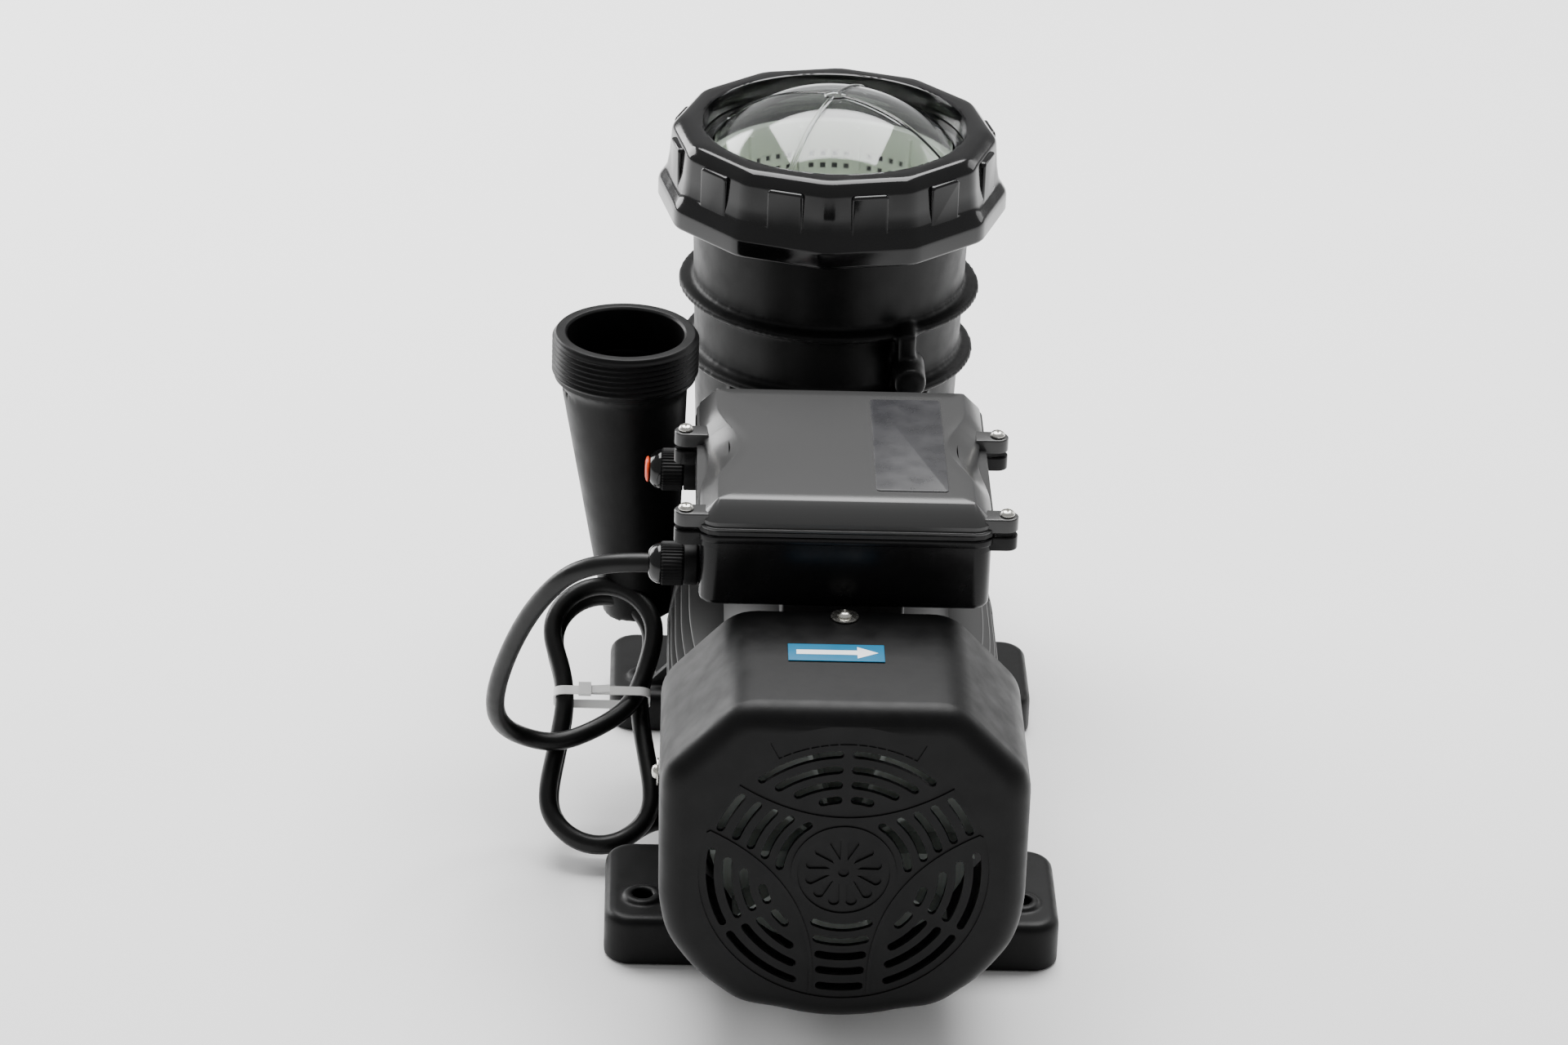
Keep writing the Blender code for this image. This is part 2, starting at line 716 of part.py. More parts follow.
def make_shields():
    """End shields that hold the bearings at both ends of the housing."""
    look = material("shield_paint", (0.03, 0.03, 0.032), 0.5)
    seat = BEARING_RADIUS + GAP
    clear = SHAFT_RADIUS + 3 * GAP
    lip = SHIELD_LIP
    web = SHIELD_THICKNESS - SHIELD_BACK
    deep = BEARING_WIDTH + 2 * GAP
    for name, depth, axis, radius in (
        ("rear_end_shield", HOUSING_START - GAP, "-Y", FIN_ROOT_RADIUS),
        ("front_end_shield", HOUSING_END + GAP, "Y", FIN_TIP_RADIUS),
    ):
        profile = [
            (radius, SHIELD_THICKNESS),
            (radius, 0),
            (HOUSING_BORE - GAP, 0),
            (HOUSING_BORE - GAP, -lip),
            (HOUSING_BORE - 0.004, -lip),
            (HOUSING_BORE - 0.004, 0.004),
            (seat + 0.004, 0.004),
            (seat + 0.004, web - deep),
            (seat, web - deep),
            (seat, web),
            (clear, web),
            (clear, SHIELD_THICKNESS),
        ]
        turned(name, profile, look, at(0, depth, AXIS_HEIGHT), axis, 20, ring=True)


def bearing_depth(front):
    """Where each bearing starts along the shaft."""
    inset = SHIELD_THICKNESS - SHIELD_BACK
    if front:
        return HOUSING_END + GAP + inset - GAP - BEARING_WIDTH
    return HOUSING_START - GAP - inset + GAP


def make_motor_insides():
    copper = material("copper_winding", (0.55, 0.22, 0.07), 0.35, metallic=0.6)
    laminations = material("laminations", (0.35, 0.35, 0.36), 0.45, metallic=0.8)
    middle = HOUSING_START + HOUSING_LENGTH / 2
    start = middle - STATOR_LENGTH / 2
    tube("stator_core", HOUSING_BORE - GAP, STATOR_BORE, STATOR_LENGTH, laminations,
         at(0, start, AXIS_HEIGHT), "Y", 32)
    round_section = arc(1.0, 90, -270, 6)[:-1]
    centre = (HOUSING_BORE + STATOR_BORE) / 2
    half = (HOUSING_BORE - STATOR_BORE) / 2 - 0.003
    for name, depth in (
        ("winding_rear", start - GAP - WINDING_LENGTH / 2),
        ("winding_front", start + STATOR_LENGTH + GAP + WINDING_LENGTH / 2),
    ):
        profile = [(centre + half * x, WINDING_LENGTH / 2 * z) for x, z in round_section]
        turned(name, profile, copper, at(0, depth, AXIS_HEIGHT), "Y", 20, ring=True)
    tube("rotor_core", STATOR_BORE - 2 * GAP, SHAFT_RADIUS + GAP, STATOR_LENGTH, laminations,
         at(0, start, AXIS_HEIGHT), "Y", 32)
    for name, front in (("front_bearing", True), ("rear_bearing", False)):
        tube(name, BEARING_RADIUS, SHAFT_RADIUS + GAP, BEARING_WIDTH, steel("bearing_steel"),
             at(0, bearing_depth(front), AXIS_HEIGHT), "Y", 20)


def make_shaft():
    start = FAN_START - 0.004
    end = VOLUTE_START + 0.026
    length = end - start
    profile = [
        (0, length), (SHAFT_RADIUS - 0.001, length), (SHAFT_RADIUS, length - 0.001),
        (SHAFT_RADIUS, 0.001), (SHAFT_RADIUS - 0.001, 0), (0, 0),
    ]
    turned("motor_shaft", profile, steel("shaft_steel"), at(0, start, AXIS_HEIGHT), "Y", 20)


# ---------------------------------------------------------------- pump end

def make_seal_plate():
    """The plate between motor and volute, with the seat of the shaft seal."""
    look = matte_black("pump_plastic")
    bore = SEAL_BORE
    step = SEAL_STEP
    seat = bore + SEAL_SEAT_WIDTH
    profile = [
        (VOLUTE_RADIUS, SEAL_PLATE_THICKNESS), (VOLUTE_RADIUS, 0), (bore, 0),
        (bore, step), (seat, step), (seat, SEAL_PLATE_THICKNESS),
    ]
    turned("seal_plate", profile, look, at(0, SEAL_PLATE_START, AXIS_HEIGHT), "Y", 28, ring=True)
    ceramic = material("seal_ceramic", (0.85, 0.84, 0.80), 0.3)
    seat_start = SEAL_PLATE_START + step + GAP
    tube("shaft_seal_seat", seat - GAP, SHAFT_RADIUS + 3 * GAP, SEAL_SEAT_LENGTH, ceramic,
         at(0, seat_start, AXIS_HEIGHT), "Y", 24)
    tube("shaft_seal_head", bore + 0.0030, SHAFT_RADIUS + GAP, SEAL_HEAD_LENGTH, rubber("seal_rubber"),
         at(0, seat_start + SEAL_SEAT_LENGTH + GAP, AXIS_HEIGHT), "Y", 24)


def pipe_points():
    """The tapering discharge branch, from the volute's side up to the port."""
    foot = at(DISCHARGE_X + 0.0100, DISCHARGE_DEPTH, AXIS_HEIGHT - 0.012)
    top = at(DISCHARGE_X, DISCHARGE_DEPTH, DISCHARGE_HEIGHT - PORT_THREAD_LENGTH - 0.006)
    return foot, top


def thread_profile(radius, length, bore):
    """A collar with thread ridges, from its face down."""
    profile = [(radius - 0.0020, length)]
    pitch = length / PORT_THREADS
    for index in range(PORT_THREADS):
        top = length - index * pitch
        profile.append((radius, top - pitch * 0.45))
        profile.append((radius - PORT_THREAD_DEPTH, top - pitch * 0.95))
    profile += [(radius - PORT_THREAD_DEPTH, -0.001), (bore, -0.001), (bore, length)]
    return profile


def make_volute():
    """The pump casing, open towards the motor, with its neck and its discharge branch."""
    look = matte_black("pump_plastic")
    neck = NECK_END - VOLUTE_START - GAP
    profile = [
        (NECK_RADIUS, neck), (NECK_RADIUS, VOLUTE_LENGTH), (VOLUTE_RADIUS - 0.014, VOLUTE_LENGTH),
        (VOLUTE_RADIUS - 0.004, VOLUTE_LENGTH - 0.005), (VOLUTE_RADIUS, VOLUTE_LENGTH - 0.014),
        (VOLUTE_RADIUS, 0), (0, 0),
    ]
    casing = turned("volute_casing", [(0, neck)] + profile, look,
                    at(0, VOLUTE_START, AXIS_HEIGHT), "Y", 28)
    foot, top = pipe_points()
    branch = cone_between("branch", foot, top, DISCHARGE_THROAT, PORT_RADIUS - 0.0053)
    shoulder_length = 0.0075
    shoulder = cone_between("shoulder", top - Vector((0, 0, 0.0005)),
                            top + Vector((0, 0, shoulder_length)),
                            PORT_RADIUS - 0.0053, PORT_RADIUS - 0.0005)
    collar_base = DISCHARGE_HEIGHT - PORT_THREAD_LENGTH
    collar = turned("collar", thread_profile(PORT_RADIUS, PORT_THREAD_LENGTH, 0.020),
                    place=at(DISCHARGE_X, DISCHARGE_DEPTH, collar_base), steps=20, ring=True, tool=True)
    flange = rod("neck_flange", NECK_FLANGE_RADIUS, NECK_FLANGE_THICKNESS,
                 place=at(0, NECK_END - GAP - NECK_FLANGE_THICKNESS, AXIS_HEIGHT), axis="Y", steps=40, tool=True)
    join(casing, branch, shoulder, collar, flange)
    wall = VOLUTE_WALL
    cavity = rod("cavity", VOLUTE_RADIUS - wall, VOLUTE_LENGTH - wall + 0.010,
                 place=at(0, VOLUTE_START - 0.010, AXIS_HEIGHT), axis="Y", steps=40, tool=True)
    eye = rod("eye", NECK_BORE, 0.120, place=at(0, VOLUTE_START, AXIS_HEIGHT), axis="Y",
              steps=28, tool=True)
    throat = cone_between("throat", foot, top, DISCHARGE_THROAT - wall, PORT_BORE - 0.003)
    bore = rod("port_bore", PORT_BORE, 0.060,
               place=at(DISCHARGE_X, DISCHARGE_DEPTH, DISCHARGE_HEIGHT - PORT_THREAD_LENGTH - 0.0085),
               steps=24, tool=True)
    cut(casing, cavity, eye, throat, bore, *bolt_holes("neck_bolt_hole"))


def make_impeller():
    look = material("impeller_plastic", (0.10, 0.10, 0.11), 0.4)
    start = VOLUTE_START + IMPELLER_START
    plate = IMPELLER_PLATE
    bore = SHAFT_RADIUS + GAP
    profile = [
        (IMPELLER_RADIUS, plate), (IMPELLER_RADIUS, 0), (bore, 0), (bore, IMPELLER_WIDTH + 0.004),
        (0.0150, IMPELLER_WIDTH + 0.004), (0.0150, plate),
    ]
    impeller = turned("impeller", profile, look, at(0, start, AXIS_HEIGHT), "Y", 24, ring=True)
    vanes = []
    for index in range(IMPELLER_VANES):
        turn = 360 / IMPELLER_VANES * index
        outline = []
        for thick, order in ((0.0012, 1), (-0.0012, -1)):
            points = []
            for step in range(5):
                radius = 0.0135 + (IMPELLER_RADIUS - 0.0140) * step / 4
                angle = math.radians(turn + 62 * step / 4)
                points.append((radius * math.cos(angle) - thick * math.sin(angle),
                               radius * math.sin(angle) + thick * math.cos(angle)))
            outline += points[::order]
        height = IMPELLER_WIDTH - plate + 0.001
        vane = flat_solid(f"vane_{index}", [outline], height, tool=True)
        vane.rotation_euler = turn_to("Y")
        vane.location = at(0, start + plate - 0.001 + height / 2, AXIS_HEIGHT)
        vanes.append(vane)
    join(impeller, *vanes)


def make_diffuser():
    """The ring round the impeller that turns its flow, with a collar in the neck's bore."""
    look = material("diffuser_plastic", (0.16, 0.16, 0.17), 0.45)
    start = VOLUTE_START + IMPELLER_START + IMPELLER_WIDTH + 0.0020
    end = VOLUTE_END - VOLUTE_WALL - GAP
    outer = VOLUTE_RADIUS - VOLUTE_WALL - 0.004
    thick = 0.0030
    profile = [
        (NECK_BORE - GAP, end + VOLUTE_WALL - start), (NECK_BORE - GAP, end - start),
        (outer, end - start), (outer, end - start - thick),
        (NECK_BORE - 0.004, end - start - thick), (NECK_BORE - 0.004, end + VOLUTE_WALL - start),
    ]
    turned("diffuser", profile, look, at(0, start, AXIS_HEIGHT), "Y", 24, ring=True)


def clamp_bolt(name, place, length):
    """A hexagon-headed bolt whose shank runs towards +Y."""
    bolt = rod(name, BOLT_HEAD_RADIUS, BOLT_HEAD, steel("screw_steel"), place, "Y", 6)
    shank = rod(f"{name}_shank", BOLT_RADIUS, length,
                place=Vector(place) + Vector((0, BOLT_HEAD - 0.0005, 0)), axis="Y", steps=8, tool=True)
    join(bolt, shank)


def make_pot_bolts():
    """Two bolts that hold the pot's joint flange to the volute's neck."""
    for name, x in (("left", -1), ("right", 1)):
        start = NECK_END - 2 * GAP - NECK_FLANGE_THICKNESS - BOLT_HEAD
        place = at(x * (NECK_RADIUS + BOLT_OUT), start, AXIS_HEIGHT)
        clamp_bolt(f"pot_bolt_{name}", place, BOLT_LENGTH)


def bolt_holes(name):
    holes = []
    for x in (-1, 1):
        place = at(x * (NECK_RADIUS + BOLT_OUT), NECK_END - 0.020, AXIS_HEIGHT)
        holes.append(rod(f"{name}_{x}", BOLT_RADIUS + GAP, 0.040, place=place, axis="Y", steps=8,
                         tool=True))
    return holes


# ---------------------------------------------------------------- strainer pot

def pot_radius(height):
    share = (height - POT_BASE) / (POT_HEIGHT - POT_BASE)
    return POT_FOOT_RADIUS + (POT_TOP_RADIUS - POT_FOOT_RADIUS) * share


def make_strainer_pot():
    look = matte_black("pump_plastic")
    profile = [(0, POT_HEIGHT), (pot_radius(POT_HEIGHT), POT_HEIGHT)]
    half = POT_RIB_HALF
    for height, stands in zip(reversed(POT_RIB_HEIGHTS), reversed(POT_RIB_STANDS)):
        radius = pot_radius(height) + stands
        profile += [
            (pot_radius(height), height + half), (radius - 0.001, height + half / 2),
            (radius, height), (radius - 0.001, height - half / 2), (pot_radius(height), height - half),
        ]
    profile += [
        (pot_radius(POT_BASE + 0.008), POT_BASE + 0.008),
        (pot_radius(POT_BASE) - 0.008, POT_BASE), (0, POT_BASE),
    ]
    place = (0, POT_Y, 0)
    pot = turned("strainer_pot", profile, look, place, steps=32)
    collar_start = SUCTION_REACH - PORT_THREAD_LENGTH
    spigot = turned("suction_collar", thread_profile(PORT_RADIUS, PORT_THREAD_LENGTH, 0.020),
                    place=(0, POT_Y + collar_start, SUCTION_HEIGHT), axis="Y", steps=20, ring=True,
                    tool=True)
    pipe = rod("suction_pipe", PORT_RADIUS - 0.0025, collar_start - 0.030,
               place=(0, POT_Y + 0.030, SUCTION_HEIGHT), axis="Y", steps=36, tool=True)
    reach = POT_DEPTH - NECK_END
    outlet = rod("outlet_pipe", NECK_RADIUS - 0.003, reach - 0.030, place=at(0, NECK_END, AXIS_HEIGHT),
                 axis="Y", steps=40, tool=True)
    flange = rod("outlet_flange", NECK_FLANGE_RADIUS, NECK_FLANGE_THICKNESS, place=at(0, NECK_END, AXIS_HEIGHT),
                 axis="Y", steps=40, tool=True)
    # A clamp lug on the right, with its round end towards the motor.
    lug_start = POT_DEPTH - POT_TOP_RADIUS - LUG_REACH
    lug = rod("lug_boss", LUG_RADIUS, LUG_LENGTH, place=at(LUG_X, lug_start, LUG_HEIGHT), axis="Y",
              steps=20, tool=True)
    web = block("lug_web", at(LUG_X - LUG_WEB / 2, lug_start + 0.014, LUG_HEIGHT - 0.050),
                at(LUG_X + LUG_WEB / 2, lug_start + 0.044, LUG_HEIGHT + 0.022), tool=True)
    join(pot, spigot, pipe, outlet, flange, lug, web)
    inner_top = POT_TOP_RADIUS - POT_WALL
    inner_foot = POT_FOOT_RADIUS - POT_WALL
    # The basket's rim hangs on a ledge just inside the mouth.
    ledge = POT_HEIGHT - BASKET_BELOW_POT - BASKET_WALL - GAP
    ledge_radius = BASKET_RADIUS + 0.0012
    hollow = turned("pot_hollow", [
        (0, POT_HEIGHT + 0.01), (inner_top, POT_HEIGHT + 0.01), (inner_top, ledge), (ledge_radius, ledge),
        (ledge_radius, ledge - 0.003), (pot_radius(ledge - 0.009) - POT_WALL, ledge - 0.009),
        (inner_foot, POT_BASE + POT_WALL + 0.006), (inner_foot - 0.006, POT_BASE + POT_WALL),
        (0, POT_BASE + POT_WALL),
    ], place=place, steps=32, tool=True)
    suction = rod("suction_bore", PORT_BORE, SUCTION_REACH, place=(0, POT_Y + 0.040, SUCTION_HEIGHT),
                  axis="Y", steps=32, tool=True)
    outlet_bore = rod("outlet_bore", NECK_BORE, reach - 0.040 + 0.010,
                      place=at(0, NECK_END - 0.010, AXIS_HEIGHT), axis="Y", steps=32, tool=True)
    drain = rod("pot_drain", DRAIN_RADIUS + GAP, 0.080, place=drain_place() - Vector((0.030, 0, 0)),
                axis="X", steps=20, tool=True)
    boss = rod("pot_drain_boss", DRAIN_RADIUS + DRAIN_BOSS_WALL, 0.020,
               place=drain_place() - Vector((0.020, 0, 0)), axis="X", steps=24, tool=True)
    join(pot, boss)
    cut(pot, hollow, suction, outlet_bore, drain, *bolt_holes("pot_bolt_hole"))


def drain_place():
    """The face of the pot's drain boss, on the pot's right side near its base."""
    return Vector((pot_radius(DRAIN_HEIGHT) + 0.0060, POT_Y, DRAIN_HEIGHT))


def make_drain_plug():
    look = matte_black("drain_plastic")
    face = drain_place()
    profile = [
        (0, 0.0120), (DRAIN_KNOB - 0.002, 0.0120), (DRAIN_KNOB, 0.0100), (DRAIN_KNOB, 0.0024),
        (DRAIN_RADIUS, 0.0024), (DRAIN_RADIUS, -0.0100), (0, -0.0100),
    ]
    turned("drain_plug", profile, look, face, "X", 12)
    turned("drain_plug_seal", [
        (DRAIN_RADIUS + 0.0028, 0.0024 - GAP), (DRAIN_RADIUS + 0.0028, GAP),
        (DRAIN_RADIUS + GAP, GAP), (DRAIN_RADIUS + GAP, 0.0024 - GAP),
    ], rubber("seal_rubber"), face, "X", 20, ring=True)


def make_lock_ring():
    look = gloss_black("ring_plastic")
    base = RING_TOP - RING_HEIGHT
    profile = [
        (RING_RADIUS - 0.004, RING_HEIGHT), (RING_RADIUS, RING_HEIGHT - 0.004),
        (RING_RADIUS + 0.001, 0.018), (RING_SKIRT_RADIUS, 0.013), (RING_SKIRT_RADIUS, 0.002),
        (RING_SKIRT_RADIUS - 0.003, 0), (0.050, 0), (0.050, RING_HEIGHT),
    ]
    ring = turned("lid_lock_ring", profile, look, (0, POT_Y, base), steps=RING_SIDES, ring=True)
    ring.rotation_euler = (0, 0, RING_TURN)
    apothem = RING_RADIUS * math.cos(math.pi / RING_SIDES)
    pads = []
    for index in range(RING_SIDES):
        pad = block(f"ring_pad_{index}", (apothem - 0.006, -RING_PAD_HALF_WIDTH, 0.0075),
                    (apothem + RING_PAD_STANDS, RING_PAD_HALF_WIDTH, RING_HEIGHT - 0.0080),
                    round_edges=0.0015, segments=1, tool=True)
        angle = RING_TURN + math.tau * (index + 0.5) / RING_SIDES
        pad.data.transform(Matrix.Rotation(angle, 4, "Z") @ Matrix.Translation(pad.location))
        pad.location = (0, POT_Y, base)
        pads.append(pad)
    join(ring, *pads)
    lip = LID_SEAT + LID_FLANGE + GAP
    opening = rod("ring_opening", RING_OPENING, 0.10, place=(0, POT_Y, base - 0.02), steps=48, tool=True)
    pocket = rod("ring_pocket", LID_RADIUS + 0.0015, lip - base + 0.02, place=(0, POT_Y, base - 0.02),
                 steps=48, tool=True)
    cut(ring, opening, pocket)


def make_lid():
    """The clear domed lid, its seal and the basket under it."""
    clear = material("clear_lid", (0.92, 0.95, 0.96), 0.04, transmission=1.0)
    sphere = (DOME_RADIUS ** 2 + DOME_RISE ** 2) / (2 * DOME_RISE)
    edge = math.degrees(math.asin(DOME_RADIUS / sphere))
    drop = sphere - DOME_RISE
    outer = [(r, z - drop) for z, r in arc(sphere, 0, edge, 5)]
    inner_radius = sphere - DOME_WALL
    inner_edge = math.degrees(math.asin((DOME_RADIUS - DOME_WALL) / inner_radius))
    inner = [(r, z - drop) for z, r in arc(inner_radius, inner_edge, 0, 5)]
    base = LID_FLANGE
    profile = [(r, z + base) for r, z in outer]
    profile += [(LID_RADIUS - GAP, base), (LID_RADIUS - GAP, 0)]
    profile += [(DOME_RADIUS - DOME_WALL, 0)]
    profile += [(r, z + base) for r, z in inner]
    profile[0] = (0, profile[0][1])
    profile[-1] = (0, profile[-1][1])
    turned("clear_lid", profile, clear, (0, POT_Y, LID_SEAT), steps=28)
    tube("lid_seal", POT_TOP_RADIUS, POT_TOP_RADIUS - POT_WALL + 0.0004, SEAL_THICKNESS,
         rubber("seal_rubber"), (0, POT_Y, POT_HEIGHT + GAP), steps=32)


def make_basket():
    look = material("basket_plastic", (0.80, 0.86, 0.74), 0.40)
    base = POT_HEIGHT - BASKET_BELOW_POT - BASKET_DEPTH
    basket = turned("strainer_basket", basket_profile(), look, (0, POT_Y, base), steps=24)
    windows = []
    for index in range(BASKET_WINDOWS):
        window = block(f"window_{index}", (BASKET_RADIUS - 0.022, -0.006, 0.020),
                       (BASKET_RADIUS + 0.010, 0.006, BASKET_DEPTH - 0.030), tool=True)
        turn = Matrix.Rotation(math.tau * index / BASKET_WINDOWS, 4, "Z")
        window.data.transform(turn @ Matrix.Translation(window.location))
        window.location = (0, POT_Y, base)
        windows.append(window)
    cut(basket, *windows)


def basket_profile():
    foot = BASKET_RADIUS - BASKET_TAPER
    wall = BASKET_WALL
    return [
        (0, wall), (foot - wall, wall), (BASKET_RADIUS - wall, BASKET_DEPTH),
        (BASKET_RADIUS + BASKET_RIM, BASKET_DEPTH), (BASKET_RADIUS + BASKET_RIM, BASKET_DEPTH - wall),
        (BASKET_RADIUS, BASKET_DEPTH - wall), (foot, 0), (0, 0),
    ]


# ---------------------------------------------------------------- feet

def foot_hole_places(start, length, thickness):
    x = FOOT_HALF_WIDTH - FOOT_HOLE_INSET
    return [at(side * x, start + length * 0.30, thickness) for side in (-1, 1)]


def foot_pad(name, start, length, thickness, look):
    """A base plate with round corners, raised bolt bosses and their holes."""
    outline = round_rectangle(FOOT_HALF_WIDTH, length / 2, FOOT_ROUND)
    pad = flat_solid(name, [outline], thickness, look, at(0, start + length / 2, thickness / 2))
    bosses = []
    holes = []
    for index, place in enumerate(foot_hole_places(start, length, thickness)):
        bosses.append(rod(f"{name}_boss_{index}", FOOT_HOLE_RADIUS + FOOT_BOSS_WALL, 0.004 + FOOT_BOSS_HEIGHT,
                          place=place - Vector((0, 0, 0.004)), steps=20, tool=True))
        holes.append(rod(f"{name}_hole_{index}", FOOT_HOLE_RADIUS, thickness + 0.02,
                         place=place - Vector((0, 0, thickness + 0.01)), steps=20, tool=True))
    join(pad, *bosses)
    cut(pad, *holes)
    return pad


def make_front_foot():
    """The motor's foot: a plate with a cradle shaped to the casting and the fan cover."""
    foot = foot_pad("motor_foot", FRONT_FOOT_START, FRONT_FOOT_LENGTH, FOOT_THICKNESS,
                    matte_black("foot_plastic"))
    cradle_start = COVER_DEPTH + 0.004
    cradle_end = FRONT_FOOT_START + FRONT_FOOT_LENGTH - 0.006
    cradle = block("cradle", at(-CRADLE_HALF, cradle_start, 0.010),
                   at(CRADLE_HALF, cradle_end, AXIS_HEIGHT - CRADLE_BELOW_SHAFT),
                   round_edges=0.004, tool=True)
    join(foot, cradle)
    clearance = wall_plate("cover_clearance", [cover_outline(0.0018)], 0.030, COVER_DEPTH - 0.029,
                           tool=True)
    barrel = rod("barrel_clearance", FIN_TIP_RADIUS + GAP, 0.120,
                 place=at(0, HOUSING_START, AXIS_HEIGHT), axis="Y", steps=48, tool=True)
    cut(foot, clearance, barrel)


def make_rear_foot():
    """The pump's foot: a plate with a saddle under the neck and a web at each side."""
    start = VOLUTE_END + REAR_FOOT_GAP
    foot = foot_pad("pump_foot", start, REAR_FOOT_LENGTH, REAR_FOOT_THICKNESS,
                    matte_black("foot_plastic"))
    middle = start + 0.012
    saddle = block("saddle", at(-SADDLE_HALF, middle - 0.006, 0.010),
                   at(SADDLE_HALF, middle + 0.010, AXIS_HEIGHT), tool=True)
    base = REAR_FOOT_THICKNESS - 0.002 - AXIS_HEIGHT
    top = -0.022
    web = wall_plate("foot_web", [[(FOOT_WEB_HALF, base), (SADDLE_HALF - 0.002, top),
                                   (0.002 - SADDLE_HALF, top), (-FOOT_WEB_HALF, base)]],
                     FOOT_WEB_THICKNESS, middle - 0.001, tool=True)
    join(foot, saddle, web)
    neck = rod("neck_clearance", NECK_RADIUS + GAP, 0.20, place=at(0, VOLUTE_START, AXIS_HEIGHT),
               axis="Y", steps=40, tool=True)
    flange = rod("flange_clearance", NECK_FLANGE_RADIUS + 0.002, 0.030,
                 place=at(0, NECK_END - 0.0100, AXIS_HEIGHT), axis="Y", steps=40, tool=True)
    cut(foot, neck, flange)


# ---------------------------------------------------------------- junction box

def box_outline(grow=0.0, pinch=0.0):
    """The box from above, centred on it. Its long sides curve in between the screws by pinch."""
    half_x = BOX_WIDTH / 2 + grow
    corners = round_rectangle(half_x, BOX_LENGTH / 2 + grow, BOX_ROUND + grow, 3)
    if not pinch:
        return corners
    half = len(corners) // 2
    return corners[:half] + scallop(-1, half_x, pinch) + corners[half:] + scallop(1, half_x, pinch)


def scallop(side, half_x, pinch):
    """The curved-in middle of a long side, going towards the fan end on the left."""
    reach = BOX_LENGTH * 0.30
    steps = 6
    points = []
    for index in range(steps + 1):
        share = index / steps
        y = reach * (1 - 2 * share) * (1 if side < 0 else -1)
        depth = pinch * 0.5 * (1 + math.cos(math.pi * (2 * share - 1)))
        points.append((side * (half_x - depth), y))
    return points


def box_centre(height):
    return at(0, BOX_START + BOX_LENGTH / 2, height)


def box_bosses(low, high, radius, name):
    bosses = []
    for side in (-1, 1):
        for index, depth in enumerate(BOX_SCREW_DEPTHS):
            place = at(side * BOX_SCREW_X, depth, low)
            boss = rod(f"{name}_{side}_{index}", radius, high - low, place=place, steps=12, tool=True)
            inner = side * (BOX_WIDTH / 2 - 0.0025)
            ends = sorted((inner, side * BOX_SCREW_X))
            web = block(f"{name}_web_{side}_{index}", at(ends[0], depth - radius * 0.85, low),
                        at(ends[1], depth + radius * 0.85, high), tool=True)
            bosses += [boss, web]
    return bosses


def screw_holes(low, high, radius, name):
    return [
        rod(f"{name}_{side}_{index}", radius, high - low, place=at(side * BOX_SCREW_X, depth, low),
            steps=8, tool=True)
        for side in (-1, 1)
        for index, depth in enumerate(BOX_SCREW_DEPTHS)
    ]


def make_box_base():
    look = gloss_black("box_plastic")
    height = BOX_SEAM - BOX_FLOOR
    base = flat_solid("junction_box_base", [box_outline()], height, look,
                      box_centre(BOX_FLOOR + height / 2))
    flange = flat_solid("base_flange", [box_outline(BOX_FLANGE)], BOX_FLANGE_HEIGHT,
                        place=box_centre(BOX_SEAM - BOX_FLANGE_HEIGHT / 2), tool=True)
    join(base, flange, *box_bosses(BOX_BOSS_BOTTOM, BOX_SEAM, BOX_BOSS_RADIUS, "base_boss"))
    hollow = flat_solid("base_hollow", [round_rectangle(BOX_WIDTH / 2 - BOX_WALL,
                                                        BOX_LENGTH / 2 - BOX_WALL, 0.006, 3)],
                        height, place=box_centre(BOX_FLOOR + BOX_WALL + height / 2), tool=True)
    glands = [
        rod(f"gland_hole_{index}", GLAND_NUT_RADIUS - 0.0030 + GAP, 0.020,
            place=at(-BOX_WIDTH / 2 - 0.010, depth, GLAND_HEIGHT), axis="X", steps=20, tool=True)
        for index, depth in enumerate(GLAND_DEPTHS)
    ]
    wires = rod("wire_hole", BOX_WIRE_HOLE, 0.020, place=box_centre(BOX_FLOOR - 0.010), steps=16, tool=True)
    holes = screw_holes(BOX_SEAM - 0.0050, BOX_SEAM + 0.01, BOX_SCREW_RADIUS + GAP, "base_screw_hole")
    cut(base, hollow, wires, *glands, *holes)


def make_box_gasket():
    outer = box_outline(0.0012)
    inner = round_rectangle(BOX_WIDTH / 2 - BOX_WALL, BOX_LENGTH / 2 - BOX_WALL, 0.006, 3)
    flat_solid("junction_box_gasket", [outer, inner], GASKET_THICKNESS, rubber("seal_rubber"),
               box_centre(BOX_SEAM + GAP + GASKET_THICKNESS / 2))


def lid_base():
    return BOX_SEAM + GAP + GASKET_THICKNESS + GAP


def lid_blank(look):
    """The lid's outer form: pinched sides and a chamfered top."""
    low = lid_base()
    high = BOX_TOP
    slab = flat_solid("junction_box_lid", [box_outline(pinch=BOX_PINCH)], high - low, look,
                      box_centre((low + high) / 2))
    bevel = slab.modifiers.new("chamfer", "BEVEL")
    bevel.width = BOX_CHAMFER
    bevel.segments = 1
    bevel.limit_method = "WEIGHT"
    mesh = slab.data
    mesh.attributes.new("bevel_weight_edge", "FLOAT", "EDGE")
    top = (high - low) / 2 - 0.0001
    shape = bmesh.new()
    shape.from_mesh(mesh)
    bmesh.ops.dissolve_limit(shape, angle_limit=0.01, verts=shape.verts, edges=shape.edges)
    layer = shape.edges.layers.float.get("bevel_weight_edge")
    for edge in shape.edges:
        if all(vert.co.z > top for vert in edge.verts) and edge.calc_face_angle(0) > 0.5:
            edge[layer] = 1.0
    shape.to_mesh(mesh)
    shape.free()
    bake(slab)
    make_triangles(slab.data)
    slab.data.materials.clear()
    slab.data.materials.append(look)
    return slab


